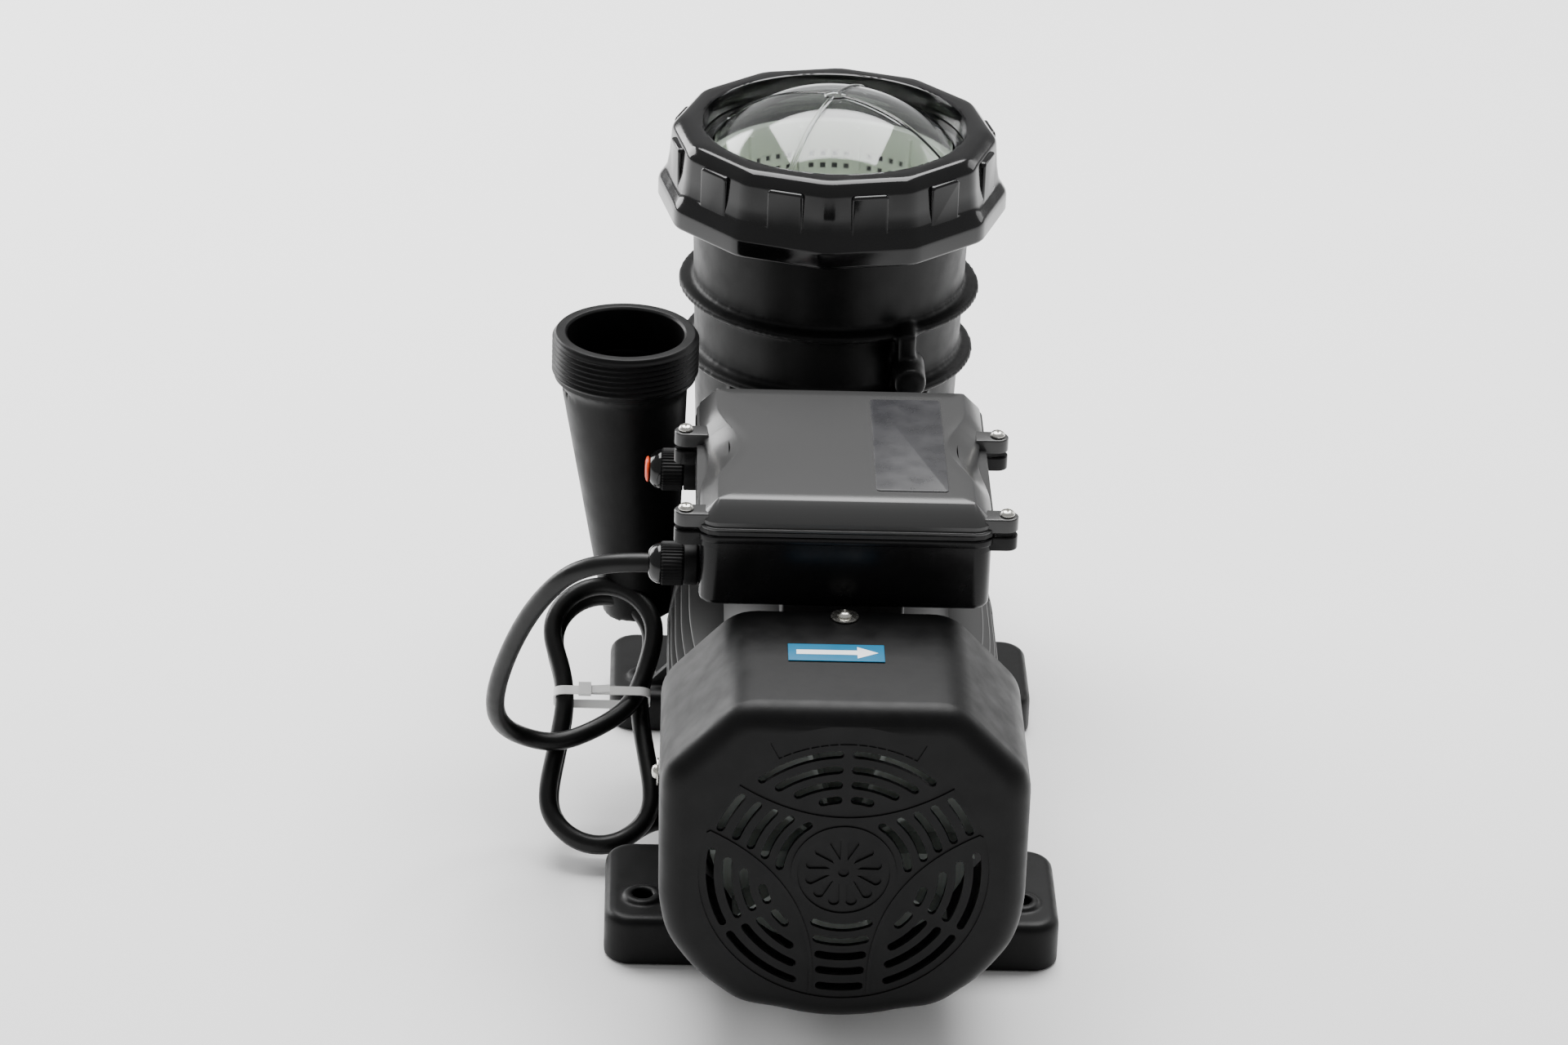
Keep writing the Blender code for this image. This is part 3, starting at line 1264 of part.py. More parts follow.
def make_box_lid():
    lid = lid_blank(gloss_black("box_lid_plastic"))
    join(lid, *box_bosses(lid_base(), BOX_BOSS_TOP, BOX_BOSS_RADIUS, "lid_boss"))
    inner = round_rectangle(BOX_WIDTH / 2 - BOX_PINCH - BOX_WALL, BOX_LENGTH / 2 - BOX_CHAMFER - BOX_WALL,
                            0.006, 3)
    height = BOX_TOP - lid_base() - BOX_WALL
    hollow = flat_solid("lid_hollow", [inner], height + 0.004,
                        place=box_centre(lid_base() + height / 2 - 0.002), tool=True)
    holes = screw_holes(lid_base() - 0.005, BOX_BOSS_TOP + 0.005, BOX_SCREW_RADIUS + GAP, "lid_screw_hole")
    cut(lid, hollow, *holes)


def make_box_screws():
    head = 0.0027
    wide = 0.0037
    for side, name in ((-1, "left"), (1, "right")):
        for index, depth in enumerate(BOX_SCREW_DEPTHS):
            place = at(side * BOX_SCREW_X, depth, BOX_BOSS_TOP + GAP)
            profile = [
                (0, head), (wide * 0.7, head * 0.85), (wide, head * 0.3), (wide, 0),
                (BOX_SCREW_RADIUS, 0), (BOX_SCREW_RADIUS, -BOX_SCREW_LENGTH), (0, -BOX_SCREW_LENGTH),
            ]
            turned(f"box_screw_{name}_{index + 1}", profile, steel("screw_steel"), place, "Z", 12)


def make_glands():
    """Two screwed glands: one grips the lead, the other is closed by a plug."""
    look = matte_black("gland_plastic")
    wall = -BOX_WIDTH / 2 - GAP
    for name, depth in zip(("cord_gland", "spare_gland"), GLAND_DEPTHS):
        bore = CORD_RADIUS + GAP
        thread = GLAND_NUT_RADIUS - 0.0030
        place = at(wall, depth, GLAND_HEIGHT)
        body = [
            (thread, GLAND_BODY_LENGTH + 0.004), (thread, GLAND_BODY_LENGTH),
            (GLAND_NUT_RADIUS - 0.0010, GLAND_BODY_LENGTH), (GLAND_NUT_RADIUS - 0.0010, 0),
            (thread - 0.0004, 0), (thread - 0.0004, -BOX_WALL - 0.004), (bore, -BOX_WALL - 0.004),
            (bore, GLAND_BODY_LENGTH + 0.004),
        ]
        turned(f"{name}_body", body, look, place, "-X", 16, ring=True)
        nut_start = GLAND_BODY_LENGTH + GAP
        nut_end = nut_start + GLAND_NUT_LENGTH
        cap = nut_end + GLAND_CAP_LENGTH
        nut = [
            (GLAND_NUT_RADIUS - 0.0035, cap - 0.0004),
            (GLAND_NUT_RADIUS - 0.0012, cap - 0.0026), (GLAND_NUT_RADIUS - 0.0004, nut_end),
            (GLAND_NUT_RADIUS, nut_end), (GLAND_NUT_RADIUS, nut_start),
            (thread + GAP, nut_start), (thread + GAP, nut_start + 0.004 + GAP),
            (bore, nut_start + 0.004 + GAP), (bore, cap),
        ]
        turned(f"{name}_nut", nut, look, place, "-X", 16, ring=True)
    length = GLAND_BODY_LENGTH + GAP + GLAND_NUT_LENGTH + GLAND_CAP_LENGTH
    plug = [
        (0, length + 0.0022), (0.0036, length + 0.0020), (0.0052, length + 0.0008),
        (0.0052, length + GAP), (CORD_RADIUS, length + GAP), (CORD_RADIUS, 0.004), (0, 0.004),
    ]
    red = material("plug_red", (0.90, 0.09, 0.02), 0.35)
    turned("blanking_plug", plug, red, at(wall, GLAND_DEPTHS[1], GLAND_HEIGHT), "-X", 16)


def make_box_insides():
    floor = BOX_FLOOR + BOX_WALL + GAP
    capacitor = material("capacitor_case", (0.75, 0.75, 0.73), 0.4)
    rod("run_capacitor", CAPACITOR_RADIUS, CAPACITOR_LENGTH, capacitor,
        at(0.040, BOX_START + 0.045, floor + CAPACITOR_RADIUS + 0.001), "Y", 24)
    block("terminal_block", at(-0.055, BOX_START + 0.045, floor), at(-0.035, BOX_START + 0.095, floor + 0.018),
          material("terminal_plastic", (0.70, 0.68, 0.60), 0.5), round_edges=0.001, segments=1)


def make_plates():
    """The rating plate on the lid and the arrow on the fan cover, both without lettering."""
    dark = material("rating_plate", (0.045, 0.045, 0.048), 0.35)
    outline = round_rectangle(PLATE_HALF_WIDTH, PLATE_HALF_LENGTH, 0.002, 2)
    x = BOX_WIDTH / 2 - BOX_PINCH - BOX_CHAMFER - PLATE_HALF_WIDTH - 0.001
    flat_solid("rating_plate", [outline], PLATE_THICKNESS, dark,
               box_centre(BOX_TOP + GAP + PLATE_THICKNESS / 2) + Vector((x, 0, 0)))
    blue = material("arrow_label", (0.01, 0.18, 0.31), 0.4)
    low = at(-0.028, 0.0500, AXIS_HEIGHT + COVER_ABOVE + GAP)
    high = at(0.018, 0.0670, AXIS_HEIGHT + COVER_ABOVE + GAP + PLATE_THICKNESS)
    block("direction_label", low, high, blue)


# ---------------------------------------------------------------- mains lead

def smooth_route(points, spacing):
    """Points about a spacing apart on one smooth curve through the given ones."""
    places = [Vector(point) for point in points]
    ends = [2 * places[0] - places[1]] + places + [2 * places[-1] - places[-2]]
    fine = []
    for before, first, second, after in zip(ends, ends[1:], ends[2:], ends[3:]):
        count = max(1, math.ceil((second - first).length / spacing))
        for index in range(count):
            t = index / count
            fine.append(0.5 * (
                2 * first + (second - before) * t
                + (2 * before - 5 * first + 4 * second - after) * t * t
                + (3 * first - before - 3 * second + after) * t * t * t
            ))
    return fine + [places[-1]]


def cord_tube(name, points):
    curve = bpy.data.curves.new(name, "CURVE")
    curve.dimensions = "3D"
    curve.bevel_depth = CORD_RADIUS
    curve.bevel_resolution = 2
    curve.use_fill_caps = True
    route = smooth_route(points, 5 * CORD_RADIUS)
    spline = curve.splines.new("POLY")
    spline.points.add(len(route) - 1)
    for target, place in zip(spline.points, route):
        target.co = (*place, 1)
    curve.materials.append(rubber("cord_rubber"))
    obj = bpy.data.objects.new(name, curve)
    bpy.data.collections[PARTS].objects.link(obj)
    return obj


def free_route():
    """From the gland, out and down in one loose loop, and back to the hank's left side."""
    length = GLAND_BODY_LENGTH + GAP + GLAND_NUT_LENGTH + GLAND_CAP_LENGTH
    start = -BOX_WIDTH / 2 - GAP - length - GAP
    return [
        at(start, GLAND_DEPTHS[0], GLAND_HEIGHT),
        at(start - 0.0176, GLAND_DEPTHS[0] + 0.0020, GLAND_HEIGHT - 0.0010),
        at(-0.1320, 0.1330, 0.1955),
        at(-0.1490, 0.1450, 0.1710),
        at(-0.1615, 0.1600, 0.1400),
        at(-0.1695, 0.1760, 0.1070),
        at(-0.1705, 0.1890, 0.0850),
        at(-0.1665, 0.2010, 0.0695),
        at(-0.1600, 0.2105, 0.0590),
        at(-0.1529, 0.2185, 0.0525),
    ]


def tail_route():
    """From the hank's right side, along the floor, to the plug under the motor."""
    return [
        at(-0.0790, 0.1990, 0.0195),
        at(-0.0735, 0.2050, 0.0191),
        at(-0.0690, 0.2110, 0.0190),
        at(PLUG_X, 0.2170, PLUG_RADIUS + FLOOR_CLEARANCE),
        at(PLUG_X, PLUG_RELIEF_START - GAP, PLUG_RADIUS + FLOOR_CLEARANCE),
    ]


def make_hank():
    """One solid round the folded turns of the lead, standing on its fold and leaning back."""
    half = HANK_WIDTH / 2
    straight = HANK_LENGTH - HANK_WIDTH
    outline = [(x, y + half + straight) for x, y in arc(half, 0, 180, 8)]
    outline += [(x, y + half) for x, y in arc(half, 180, 360, 8)]
    hank = flat_solid("cord_hank", [outline], HANK_THICKNESS, rubber("cord_rubber"))
    hank.rotation_euler = (math.pi / 2 - HANK_LEAN, 0, 0)
    lift = HANK_THICKNESS / 2 * math.sin(HANK_LEAN) + FLOOR_CLEARANCE
    hank.location = at(HANK_FOOT[0], HANK_FOOT[1], lift)
    return hank


def make_tie(hank):
    """A flat tie round the hank."""
    half_width = HANK_WIDTH / 2 + GAP
    half_thickness = HANK_THICKNESS / 2 + GAP
    outer = round_rectangle(half_width + TIE_THICKNESS, half_thickness + TIE_THICKNESS, 0.001, 1)
    inner = round_rectangle(half_width, half_thickness, 0.0002, 1)
    white = material("tie_white", (0.85, 0.85, 0.85), 0.4)
    tie = flat_solid("cable_tie", [outer, inner], TIE_WIDTH, white)
    along = Vector((0, math.sin(HANK_LEAN), math.cos(HANK_LEAN)))
    tie.rotation_euler = (-HANK_LEAN, 0, 0)
    tie.location = hank.location + along * (HANK_LENGTH * TIE_SHARE)


def make_plug():
    """A round earthed plug with its strain relief and two pins, lying under the motor."""
    end = PLUG_RELIEF_LENGTH + PLUG_LENGTH
    shoulder = PLUG_RELIEF_LENGTH + 0.012
    profile = [
        (0, end), (PLUG_RADIUS - 0.001, end), (PLUG_RADIUS, end - 0.001), (PLUG_RADIUS, shoulder),
        (PLUG_RADIUS - 0.007, PLUG_RELIEF_LENGTH), (0.0070, PLUG_RELIEF_LENGTH - 0.003), (0.0058, 0), (0, 0),
    ]
    place = at(PLUG_X, PLUG_RELIEF_START, PLUG_RADIUS + FLOOR_CLEARANCE)
    turned("mains_plug", profile, matte_black("plug_plastic"), place, "Y", 24)
    for name, side in (("left", -1), ("right", 1)):
        pin_place = place + Vector((side * PIN_SPACING / 2, end + GAP, 0))
        rod(f"plug_pin_{name}", PIN_RADIUS, PIN_LENGTH, steel("pin_steel"), pin_place, "Y", 12)


# ---------------------------------------------------------------- assembly

def main():
    clear_scene()
    make_fan_cover()
    make_cover_screws()
    make_fan()
    make_motor_housing()
    make_shields()
    make_motor_insides()
    make_shaft()
    make_seal_plate()
    make_volute()
    make_impeller()
    make_diffuser()
    make_pot_bolts()
    make_strainer_pot()
    make_drain_plug()
    make_lock_ring()
    make_lid()
    make_basket()
    make_front_foot()
    make_rear_foot()
    make_box_base()
    make_box_gasket()
    make_box_lid()
    make_box_screws()
    make_glands()
    make_box_insides()
    make_plates()
    cord_tube("power_cord", free_route())
    cord_tube("cord_tail", tail_route())
    make_tie(make_hank())
    make_plug()


main()
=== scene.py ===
"""The looks of the pool pump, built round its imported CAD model.

Metres, +Z up, the CAD model's own frame: the shaft runs along Y, the fan cover is at -Y and the
strainer pot at +Y. Depths along the shaft are counted from the fan cover's face.
"""

import json
import math

import bmesh
import bpy
from mathutils import Matrix, Vector

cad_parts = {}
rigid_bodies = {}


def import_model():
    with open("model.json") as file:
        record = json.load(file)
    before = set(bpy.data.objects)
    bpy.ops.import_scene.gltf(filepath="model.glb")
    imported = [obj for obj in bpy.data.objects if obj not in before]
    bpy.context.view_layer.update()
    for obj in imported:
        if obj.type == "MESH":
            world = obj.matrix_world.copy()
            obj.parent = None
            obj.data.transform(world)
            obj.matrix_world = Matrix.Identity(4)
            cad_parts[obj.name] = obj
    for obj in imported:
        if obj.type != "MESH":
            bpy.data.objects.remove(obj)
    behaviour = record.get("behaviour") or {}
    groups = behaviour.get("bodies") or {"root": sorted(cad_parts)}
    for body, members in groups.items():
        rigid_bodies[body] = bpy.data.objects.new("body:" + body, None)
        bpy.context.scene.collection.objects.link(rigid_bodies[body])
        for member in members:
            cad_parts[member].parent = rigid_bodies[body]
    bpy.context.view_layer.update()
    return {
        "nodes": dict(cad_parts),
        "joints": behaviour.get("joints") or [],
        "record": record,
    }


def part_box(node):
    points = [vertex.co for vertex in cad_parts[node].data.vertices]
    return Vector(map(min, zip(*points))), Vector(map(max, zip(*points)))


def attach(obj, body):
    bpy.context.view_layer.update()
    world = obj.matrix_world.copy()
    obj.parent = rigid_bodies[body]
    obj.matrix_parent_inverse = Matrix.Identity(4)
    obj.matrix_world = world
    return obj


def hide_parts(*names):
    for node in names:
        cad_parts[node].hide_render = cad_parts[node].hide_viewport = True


for old in list(bpy.data.objects):
    bpy.data.objects.remove(old, do_unlink=True)
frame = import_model()

# ---------------------------------------------------------------- places read from the frame

JOINTS = {joint["name"]: joint for joint in frame["joints"]}
MOUNTS = {mount["name"]: mount for mount in frame["record"]["mounts"]}
AXIS_Z = JOINTS["rotor_spin"]["pos_m"][2]
POT_Y = JOINTS["ring_turn"]["pos_m"][1]
COVER_LOW, COVER_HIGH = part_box("fan_cover")
FACE_Y = COVER_LOW.y
SMALL = 0.0003


def at(x, depth, z):
    """A place given by its distance from the middle, from the fan cover's face and from the floor."""
    return Vector((x, FACE_Y + depth, z))


# ---------------------------------------------------------------- materials

def link(tree, source, target):
    tree.links.new(source, target)


def noise(tree, scale, detail=3.0, stretch=(1, 1, 1)):
    """A noise in the object's own metres, so that it keeps its size on every piece."""
    place = tree.nodes.new("ShaderNodeTexCoord")
    mapping = tree.nodes.new("ShaderNodeMapping")
    mapping.inputs["Scale"].default_value = stretch
    texture = tree.nodes.new("ShaderNodeTexNoise")
    texture.inputs["Scale"].default_value = scale
    texture.inputs["Detail"].default_value = detail
    link(tree, place.outputs["Object"], mapping.inputs["Vector"])
    link(tree, mapping.outputs["Vector"], texture.inputs["Vector"])
    return texture.outputs["Fac"]


def spread(tree, source, low, high):
    """Maps the middle of a noise onto a range."""
    ranged = tree.nodes.new("ShaderNodeMapRange")
    ranged.inputs["From Min"].default_value = 0.3
    ranged.inputs["From Max"].default_value = 0.7
    ranged.inputs["To Min"].default_value = low
    ranged.inputs["To Max"].default_value = high
    link(tree, source, ranged.inputs["Value"])
    return ranged.outputs["Result"]


def tint(tree, source, dark, light):
    ramp = tree.nodes.new("ShaderNodeValToRGB")
    ramp.color_ramp.elements[0].position = 0.3
    ramp.color_ramp.elements[0].color = (*dark, 1)
    ramp.color_ramp.elements[1].position = 0.7
    ramp.color_ramp.elements[1].color = (*light, 1)
    link(tree, source, ramp.inputs["Fac"])
    return ramp.outputs["Color"]


def bump(tree, shader, source, strength, distance):
    node = tree.nodes.new("ShaderNodeBump")
    node.inputs["Strength"].default_value = strength
    node.inputs["Distance"].default_value = distance
    link(tree, source, node.inputs["Height"])
    earlier = shader.inputs["Normal"].links
    if earlier:
        link(tree, earlier[0].from_socket, node.inputs["Normal"])
    link(tree, node.outputs["Normal"], shader.inputs["Normal"])


def material(name, dark, light, roughness, grain=2400, depth=0.25, haze=0.06, cloud=28, stretch=(1, 1, 1),
             **sockets):
    """A surface with cloudy colour and gloss, and a fine relief of the given grain."""
    made = bpy.data.materials.get(name)
    if made:
        return made
    made = bpy.data.materials.new(name)
    made.use_nodes = True
    tree = made.node_tree
    shader = tree.nodes["Principled BSDF"]
    clouds = noise(tree, cloud, 4.0, stretch)
    link(tree, tint(tree, clouds, dark, light), shader.inputs["Base Color"])
    smears = noise(tree, cloud * 3.1, 5.0, stretch)
    link(tree, spread(tree, smears, max(0.02, roughness - haze), min(1, roughness + haze)),
         shader.inputs["Roughness"])
    bump(tree, shader, noise(tree, grain, 2.0, stretch), depth, 0.0001)
    for socket, value in sockets.items():
        shader.inputs[socket.replace("_", " ")].default_value = value
    made.diffuse_color = (*light, 1)
    return made


def satin_black():
    return material("satin_black_plastic", (0.0022, 0.0022, 0.0023), (0.0040, 0.0040, 0.0042), 0.42,
                    depth=0.30, Specular_IOR_Level=0.16)


def matt_black():
    return material("matt_black_plastic", (0.0022, 0.0022, 0.0023), (0.0040, 0.0040, 0.0042), 0.50,
                    grain=1700, depth=0.45, Specular_IOR_Level=0.16)


def gloss_black():
    return material("gloss_black_plastic", (0.0020, 0.0020, 0.0022), (0.0040, 0.0040, 0.0043), 0.12,
                    grain=900, depth=0.04, haze=0.04, Specular_IOR_Level=0.40)


def box_black():
    return material("box_black_plastic", (0.0028, 0.0028, 0.0030), (0.0050, 0.0050, 0.0053), 0.24,
                    grain=2600, depth=0.12, haze=0.04, Specular_IOR_Level=0.20)


# The lid's plastic is a grey lighter than the box's black: painted reflection of the overhead lamp on the
# lid's top.
def lid_plastic_with_painted_reflection():
    return material("box_lid_plastic", (0.014, 0.014, 0.016), (0.019, 0.019, 0.021), 0.40,
                    grain=3200, depth=0.30, haze=0.05, Specular_IOR_Level=0.30)


def motor_paint():
    return material("motor_paint", (0.0040, 0.0040, 0.0043), (0.0070, 0.0070, 0.0075), 0.36,
                    grain=700, depth=0.30, Specular_IOR_Level=0.30)


def rubber():
    return material("black_rubber", (0.010, 0.010, 0.010), (0.016, 0.016, 0.016), 0.62, grain=1800)


def sheath():
    return material("lead_sheath", (0.0030, 0.0030, 0.0030), (0.0055, 0.0055, 0.0055), 0.36,
                    grain=1500, depth=0.20, cloud=60, Specular_IOR_Level=0.25)


def zinc():
    return material("zinc_steel", (0.52, 0.51, 0.47), (0.74, 0.73, 0.69), 0.26, grain=900, depth=0.12,
                    cloud=260, Metallic=1.0)


def turned_steel():
    return material("turned_steel", (0.50, 0.50, 0.50), (0.68, 0.68, 0.67), 0.24, grain=500, depth=0.2,
                    cloud=90, stretch=(1, 14, 1), Metallic=1.0)


def laminations():
    return material("laminations", (0.16, 0.16, 0.17), (0.42, 0.42, 0.43), 0.45, grain=600, depth=0.5,
                    cloud=500, stretch=(0.05, 3, 0.05), Metallic=0.8)


def copper():
    return material("copper_winding", (0.30, 0.10, 0.03), (0.62, 0.26, 0.09), 0.34, grain=800, depth=0.8,
                    cloud=400, stretch=(1, 0.2, 1), Metallic=0.7)


def ceramic():
    return material("seal_ceramic", (0.80, 0.79, 0.75), (0.88, 0.87, 0.84), 0.30, grain=3000, depth=0.1)


def plain_plastic(name, colour, roughness=0.45):
    dark = tuple(part * 0.86 for part in colour)
    return material(name, dark, colour, roughness, grain=2200, depth=0.2)


def basket_plastic():
    return material("basket_plastic", (0.44, 0.54, 0.35), (0.54, 0.64, 0.44), 0.38, grain=1500, depth=0.15,
                    Subsurface_Weight=0.25, Subsurface_Scale=0.004, Transmission_Weight=0.12)


def clear_plastic():
    return material("clear_polycarbonate", (0.93, 0.96, 0.96), (0.97, 0.99, 0.99), 0.04, grain=160,
                    depth=0.03, haze=0.02, Transmission_Weight=1.0, IOR=1.49)


def teal_foil():
    return material("teal_foil", (0.0015, 0.120, 0.240), (0.0025, 0.150, 0.290), 0.42, grain=2600, depth=0.06,
                    Specular_IOR_Level=0.20)


def white_print():
    return material("white_print", (0.82, 0.84, 0.85), (0.92, 0.93, 0.94), 0.36, grain=2600, depth=0.06)


def dark_foil():
    return material("dark_foil", (0.016, 0.016, 0.018), (0.022, 0.022, 0.025), 0.30, grain=2600, depth=0.08)


def signal_red():
    return material("signal_red", (0.78, 0.055, 0.010), (0.92, 0.100, 0.020), 0.32, grain=2000, depth=0.1)


def white_nylon():
    return material("white_nylon", (0.74, 0.74, 0.73), (0.84, 0.84, 0.83), 0.42, grain=1500, depth=0.15)


def nickel():
    return material("nickel_plate", (0.60, 0.59, 0.56), (0.72, 0.71, 0.68), 0.18, grain=700, depth=0.08,
                    cloud=200, Metallic=1.0)


# ---------------------------------------------------------------- shape helpers

def piece(name, shape, look, body="root", replaces=(), degrees=32):
    """Turns a bmesh into a piece that rides on a CAD body."""
    bmesh.ops.remove_doubles(shape, verts=shape.verts, dist=0.000001)
    bmesh.ops.recalc_face_normals(shape, faces=shape.faces)
    mesh = bpy.data.meshes.new(name)
    shape.to_mesh(mesh)
    shape.free()
    mesh.materials.append(look)
    obj = bpy.data.objects.new(name, mesh)
    bpy.context.scene.collection.objects.link(obj)
    shade(obj, degrees)
    if body:
        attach(obj, body)
    if replaces:
        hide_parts(*replaces)
    return obj


def shade(obj, degrees=32):
    obj.data.shade_smooth()
    obj.data.set_sharp_from_angle(angle=math.radians(degrees))


def skin(loops, ring=False, shape=None):
    """Faces between loops that have the same number of points; the end loops are closed."""
    shape = shape or bmesh.new()
    rows = [[shape.verts.new(point) for point in loop] for loop in loops]
    pairs = list(zip(rows, rows[1:]))
    if ring:
        pairs.append((rows[-1], rows[0]))
    for first, second in pairs:
        for index in range(len(first)):
            after = (index + 1) % len(first)
            shape.faces.new((first[index], first[after], second[after], second[index]))
    if not ring:
        shape.faces.new(rows[0])
        shape.faces.new(rows[-1])
    return shape


def ease(points, radius, count=3, closed=False):
    """Rounds the corners of an outline; a corner with short sides is rounded less."""
    total = len(points)
    eased = []
    for index, point in enumerate(points):
        here = Vector(point)
        if not closed and index in (0, total - 1):
            eased.append(tuple(here))
            continue
        size = radius[index] if isinstance(radius, (list, tuple)) else radius
        before = Vector(points[index - 1]) - here
        after = Vector(points[(index + 1) % total]) - here
        cut = min(size, before.length * 0.45, after.length * 0.45)
        if cut < 0.00005:
            eased.append(tuple(here))
            continue
        start = here + before.normalized() * cut
        end = here + after.normalized() * cut
        for step in range(count + 1):
            share = step / count
            eased.append(tuple(start * (1 - share) ** 2 + here * 2 * share * (1 - share) + end * share ** 2))
    return eased


AXES = {
    "Z": Matrix.Identity(3),
    "-Z": Matrix.Rotation(math.pi, 3, "X"),
    "Y": Matrix.Rotation(-math.pi / 2, 3, "X"),
    "-Y": Matrix.Rotation(math.pi / 2, 3, "X"),
    "X": Matrix.Rotation(math.pi / 2, 3, "Y"),
    "-X": Matrix.Rotation(-math.pi / 2, 3, "Y"),
}


def turned(profile, place, axis="Z", steps=96, edge=0.0008, ring=False, shape=None):
    """A turned shape from (radius, height) points, with its corners rounded by edge."""
    points = ease(profile, edge, 3, closed=ring) if edge else profile
    turn = AXES[axis] if isinstance(axis, str) else axis
    place = Vector(place)
    loops = []
    for radius, height in points:
        loop = []
        for index in range(steps):
            angle = math.tau * index / steps
            loop.append(place + turn @ Vector((radius * math.cos(angle), radius * math.sin(angle), height)))
        loops.append(loop)
    return skin(loops, ring, shape)


def rod(radius, length, place, axis="Z", steps=48, edge=0.0, shape=None):
    profile = [(0, length), (radius, length), (radius, 0), (0, 0)]
    return turned(profile, place, axis, steps, edge, shape=shape)


def tube(outer, inner, length, place, axis="Z", steps=96, edge=0.0006):
    profile = [(outer, length), (outer, 0), (inner, 0), (inner, length)]
    return turned(profile, place, axis, steps, edge, ring=True)


def arc(radius, start, end, count, centre=(0, 0)):
    """Points on an arc, with angles in degrees."""
    angles = [math.radians(start + (end - start) * i / count) for i in range(count + 1)]
    return [(centre[0] + radius * math.cos(a), centre[1] + radius * math.sin(a)) for a in angles]


def round_rectangle(half_x, half_y, radius, count=8):
    outline = []
    for x, y, start in ((1, 1, 0), (-1, 1, 90), (-1, -1, 180), (1, -1, 270)):
        outline += arc(radius, start, start + 90, count, (x * (half_x - radius), y * (half_y - radius)))
    return outline


def inset(outline, distance):
    """The outline moved inwards by the distance."""
    moved = []
    total = len(outline)
    for index in range(total):
        here = Vector(outline[index])
        before = here - Vector(outline[index - 1])
        after = Vector(outline[(index + 1) % total]) - here
        along = before.normalized() + after.normalized()
        normal = Vector((-along.y, along.x)).normalized()
        moved.append(tuple(here + normal * distance))
    return moved


def slab(outline, low, high, edge=0.001, place=(0, 0, 0), turn=None, foot=0.0, shape=None):
    """A plate between two heights with a rounded rim; foot rounds its lower rim."""
    turn = turn or Matrix.Identity(3)
    place = Vector(place)
    levels = []
    if foot:
        levels += [(foot * (1 - math.sin(a)), low + foot * (1 - math.cos(a)))
                   for a in (0, math.pi / 6, math.pi / 3, math.pi / 2)]
    else:
        levels.append((0.0, low))
    if edge:
        levels += [(edge * (1 - math.cos(a)), high - edge * (1 - math.sin(a)))
                   for a in (0, math.pi / 8, math.pi / 4, math.pi * 3 / 8, math.pi / 2)]
    else:
        levels.append((0.0, high))
    loops = []
    for shrink, height in levels:
        loop = inset(outline, shrink) if shrink > 1e-7 else outline
        loops.append([place + turn @ Vector((x, y, height)) for x, y in loop])
    return skin(loops, shape=shape)


def block(low, high, edge=0.001, shape=None):
    """A box between two corners with rounded upright edges and a rounded top."""
    low = Vector(low)
    high = Vector(high)
    middle = (low + high) / 2
    size = (high - low) / 2
    outline = round_rectangle(size.x, size.y, max(edge, 0.0002), 4)
    return slab(outline, low.z, high.z, edge, (middle.x, middle.y, 0), shape=shape)


def face_on(outline, start, thickness, shape=None):
    """A plate whose outline is seen from the fan end, as (across, above the shaft)."""
    loops = []
    for depth in (start, start + thickness):
        loops.append([at(x, depth, AXIS_Z + z) for x, z in outline])
    return skin(loops, shape=shape)


def tool(shape):
    """A cutter or an addition for combine()."""
    bmesh.ops.remove_doubles(shape, verts=shape.verts, dist=0.000001)
    bmesh.ops.recalc_face_normals(shape, faces=shape.faces)
    mesh = bpy.data.meshes.new("tool")
    shape.to_mesh(mesh)
    shape.free()
    return bpy.data.objects.new("tool", mesh)


def combine(obj, operation, shapes, degrees=32):
    """Cuts or joins shapes in one exact Boolean and keeps the result as the mesh."""
    look = obj.data.materials[0]
    group = bpy.data.collections.new("tools")
    bpy.context.scene.collection.children.link(group)
    for shape in shapes:
        group.objects.link(tool(shape))
    boolean = obj.modifiers.new("boolean", "BOOLEAN")
    boolean.operation = operation
    boolean.solver = "EXACT"
    boolean.operand_type = "COLLECTION"
    boolean.collection = group
    bpy.context.view_layer.update()
    bake(obj)
    for item in list(group.objects):
        bpy.data.objects.remove(item)
    bpy.data.collections.remove(group)
    obj.data.materials.clear()
    obj.data.materials.append(look)
    tidy_mesh(obj)
    shade(obj, degrees)
    return obj


def wear(obj, width, degrees):
    """Softens the edges that are sharper than the angle."""
    edge = obj.modifiers.new("edges", "BEVEL")
    edge.width = width
    edge.segments = 2
    edge.limit_method = "ANGLE"
    edge.angle_limit = math.radians(degrees)


def bake(obj):
    graph = bpy.context.evaluated_depsgraph_get()
    mesh = bpy.data.meshes.new_from_object(obj.evaluated_get(graph))
    obj.modifiers.clear()
    obj.data = mesh


def tidy_mesh(obj):
    shape = bmesh.new()
    shape.from_mesh(obj.data)
    bmesh.ops.remove_doubles(shape, verts=shape.verts, dist=0.000002)
    bmesh.ops.dissolve_degenerate(shape, edges=shape.edges, dist=0.000002)
    shape.to_mesh(obj.data)
    shape.free()


def flow(obj, voxel, rounds):
    """Melts joined shapes into one casting with soft inner corners."""
    remesh = obj.modifiers.new("melt", "REMESH")
    remesh.mode = "VOXEL"
    remesh.voxel_size = voxel
    soften = obj.modifiers.new("soften", "SMOOTH")
    soften.factor = 0.5
    soften.iterations = rounds
    look = obj.data.materials[0]
    bake(obj)
    obj.data.materials.clear()
    obj.data.materials.append(look)
    obj.data.shade_smooth()


# ---------------------------------------------------------------- screws

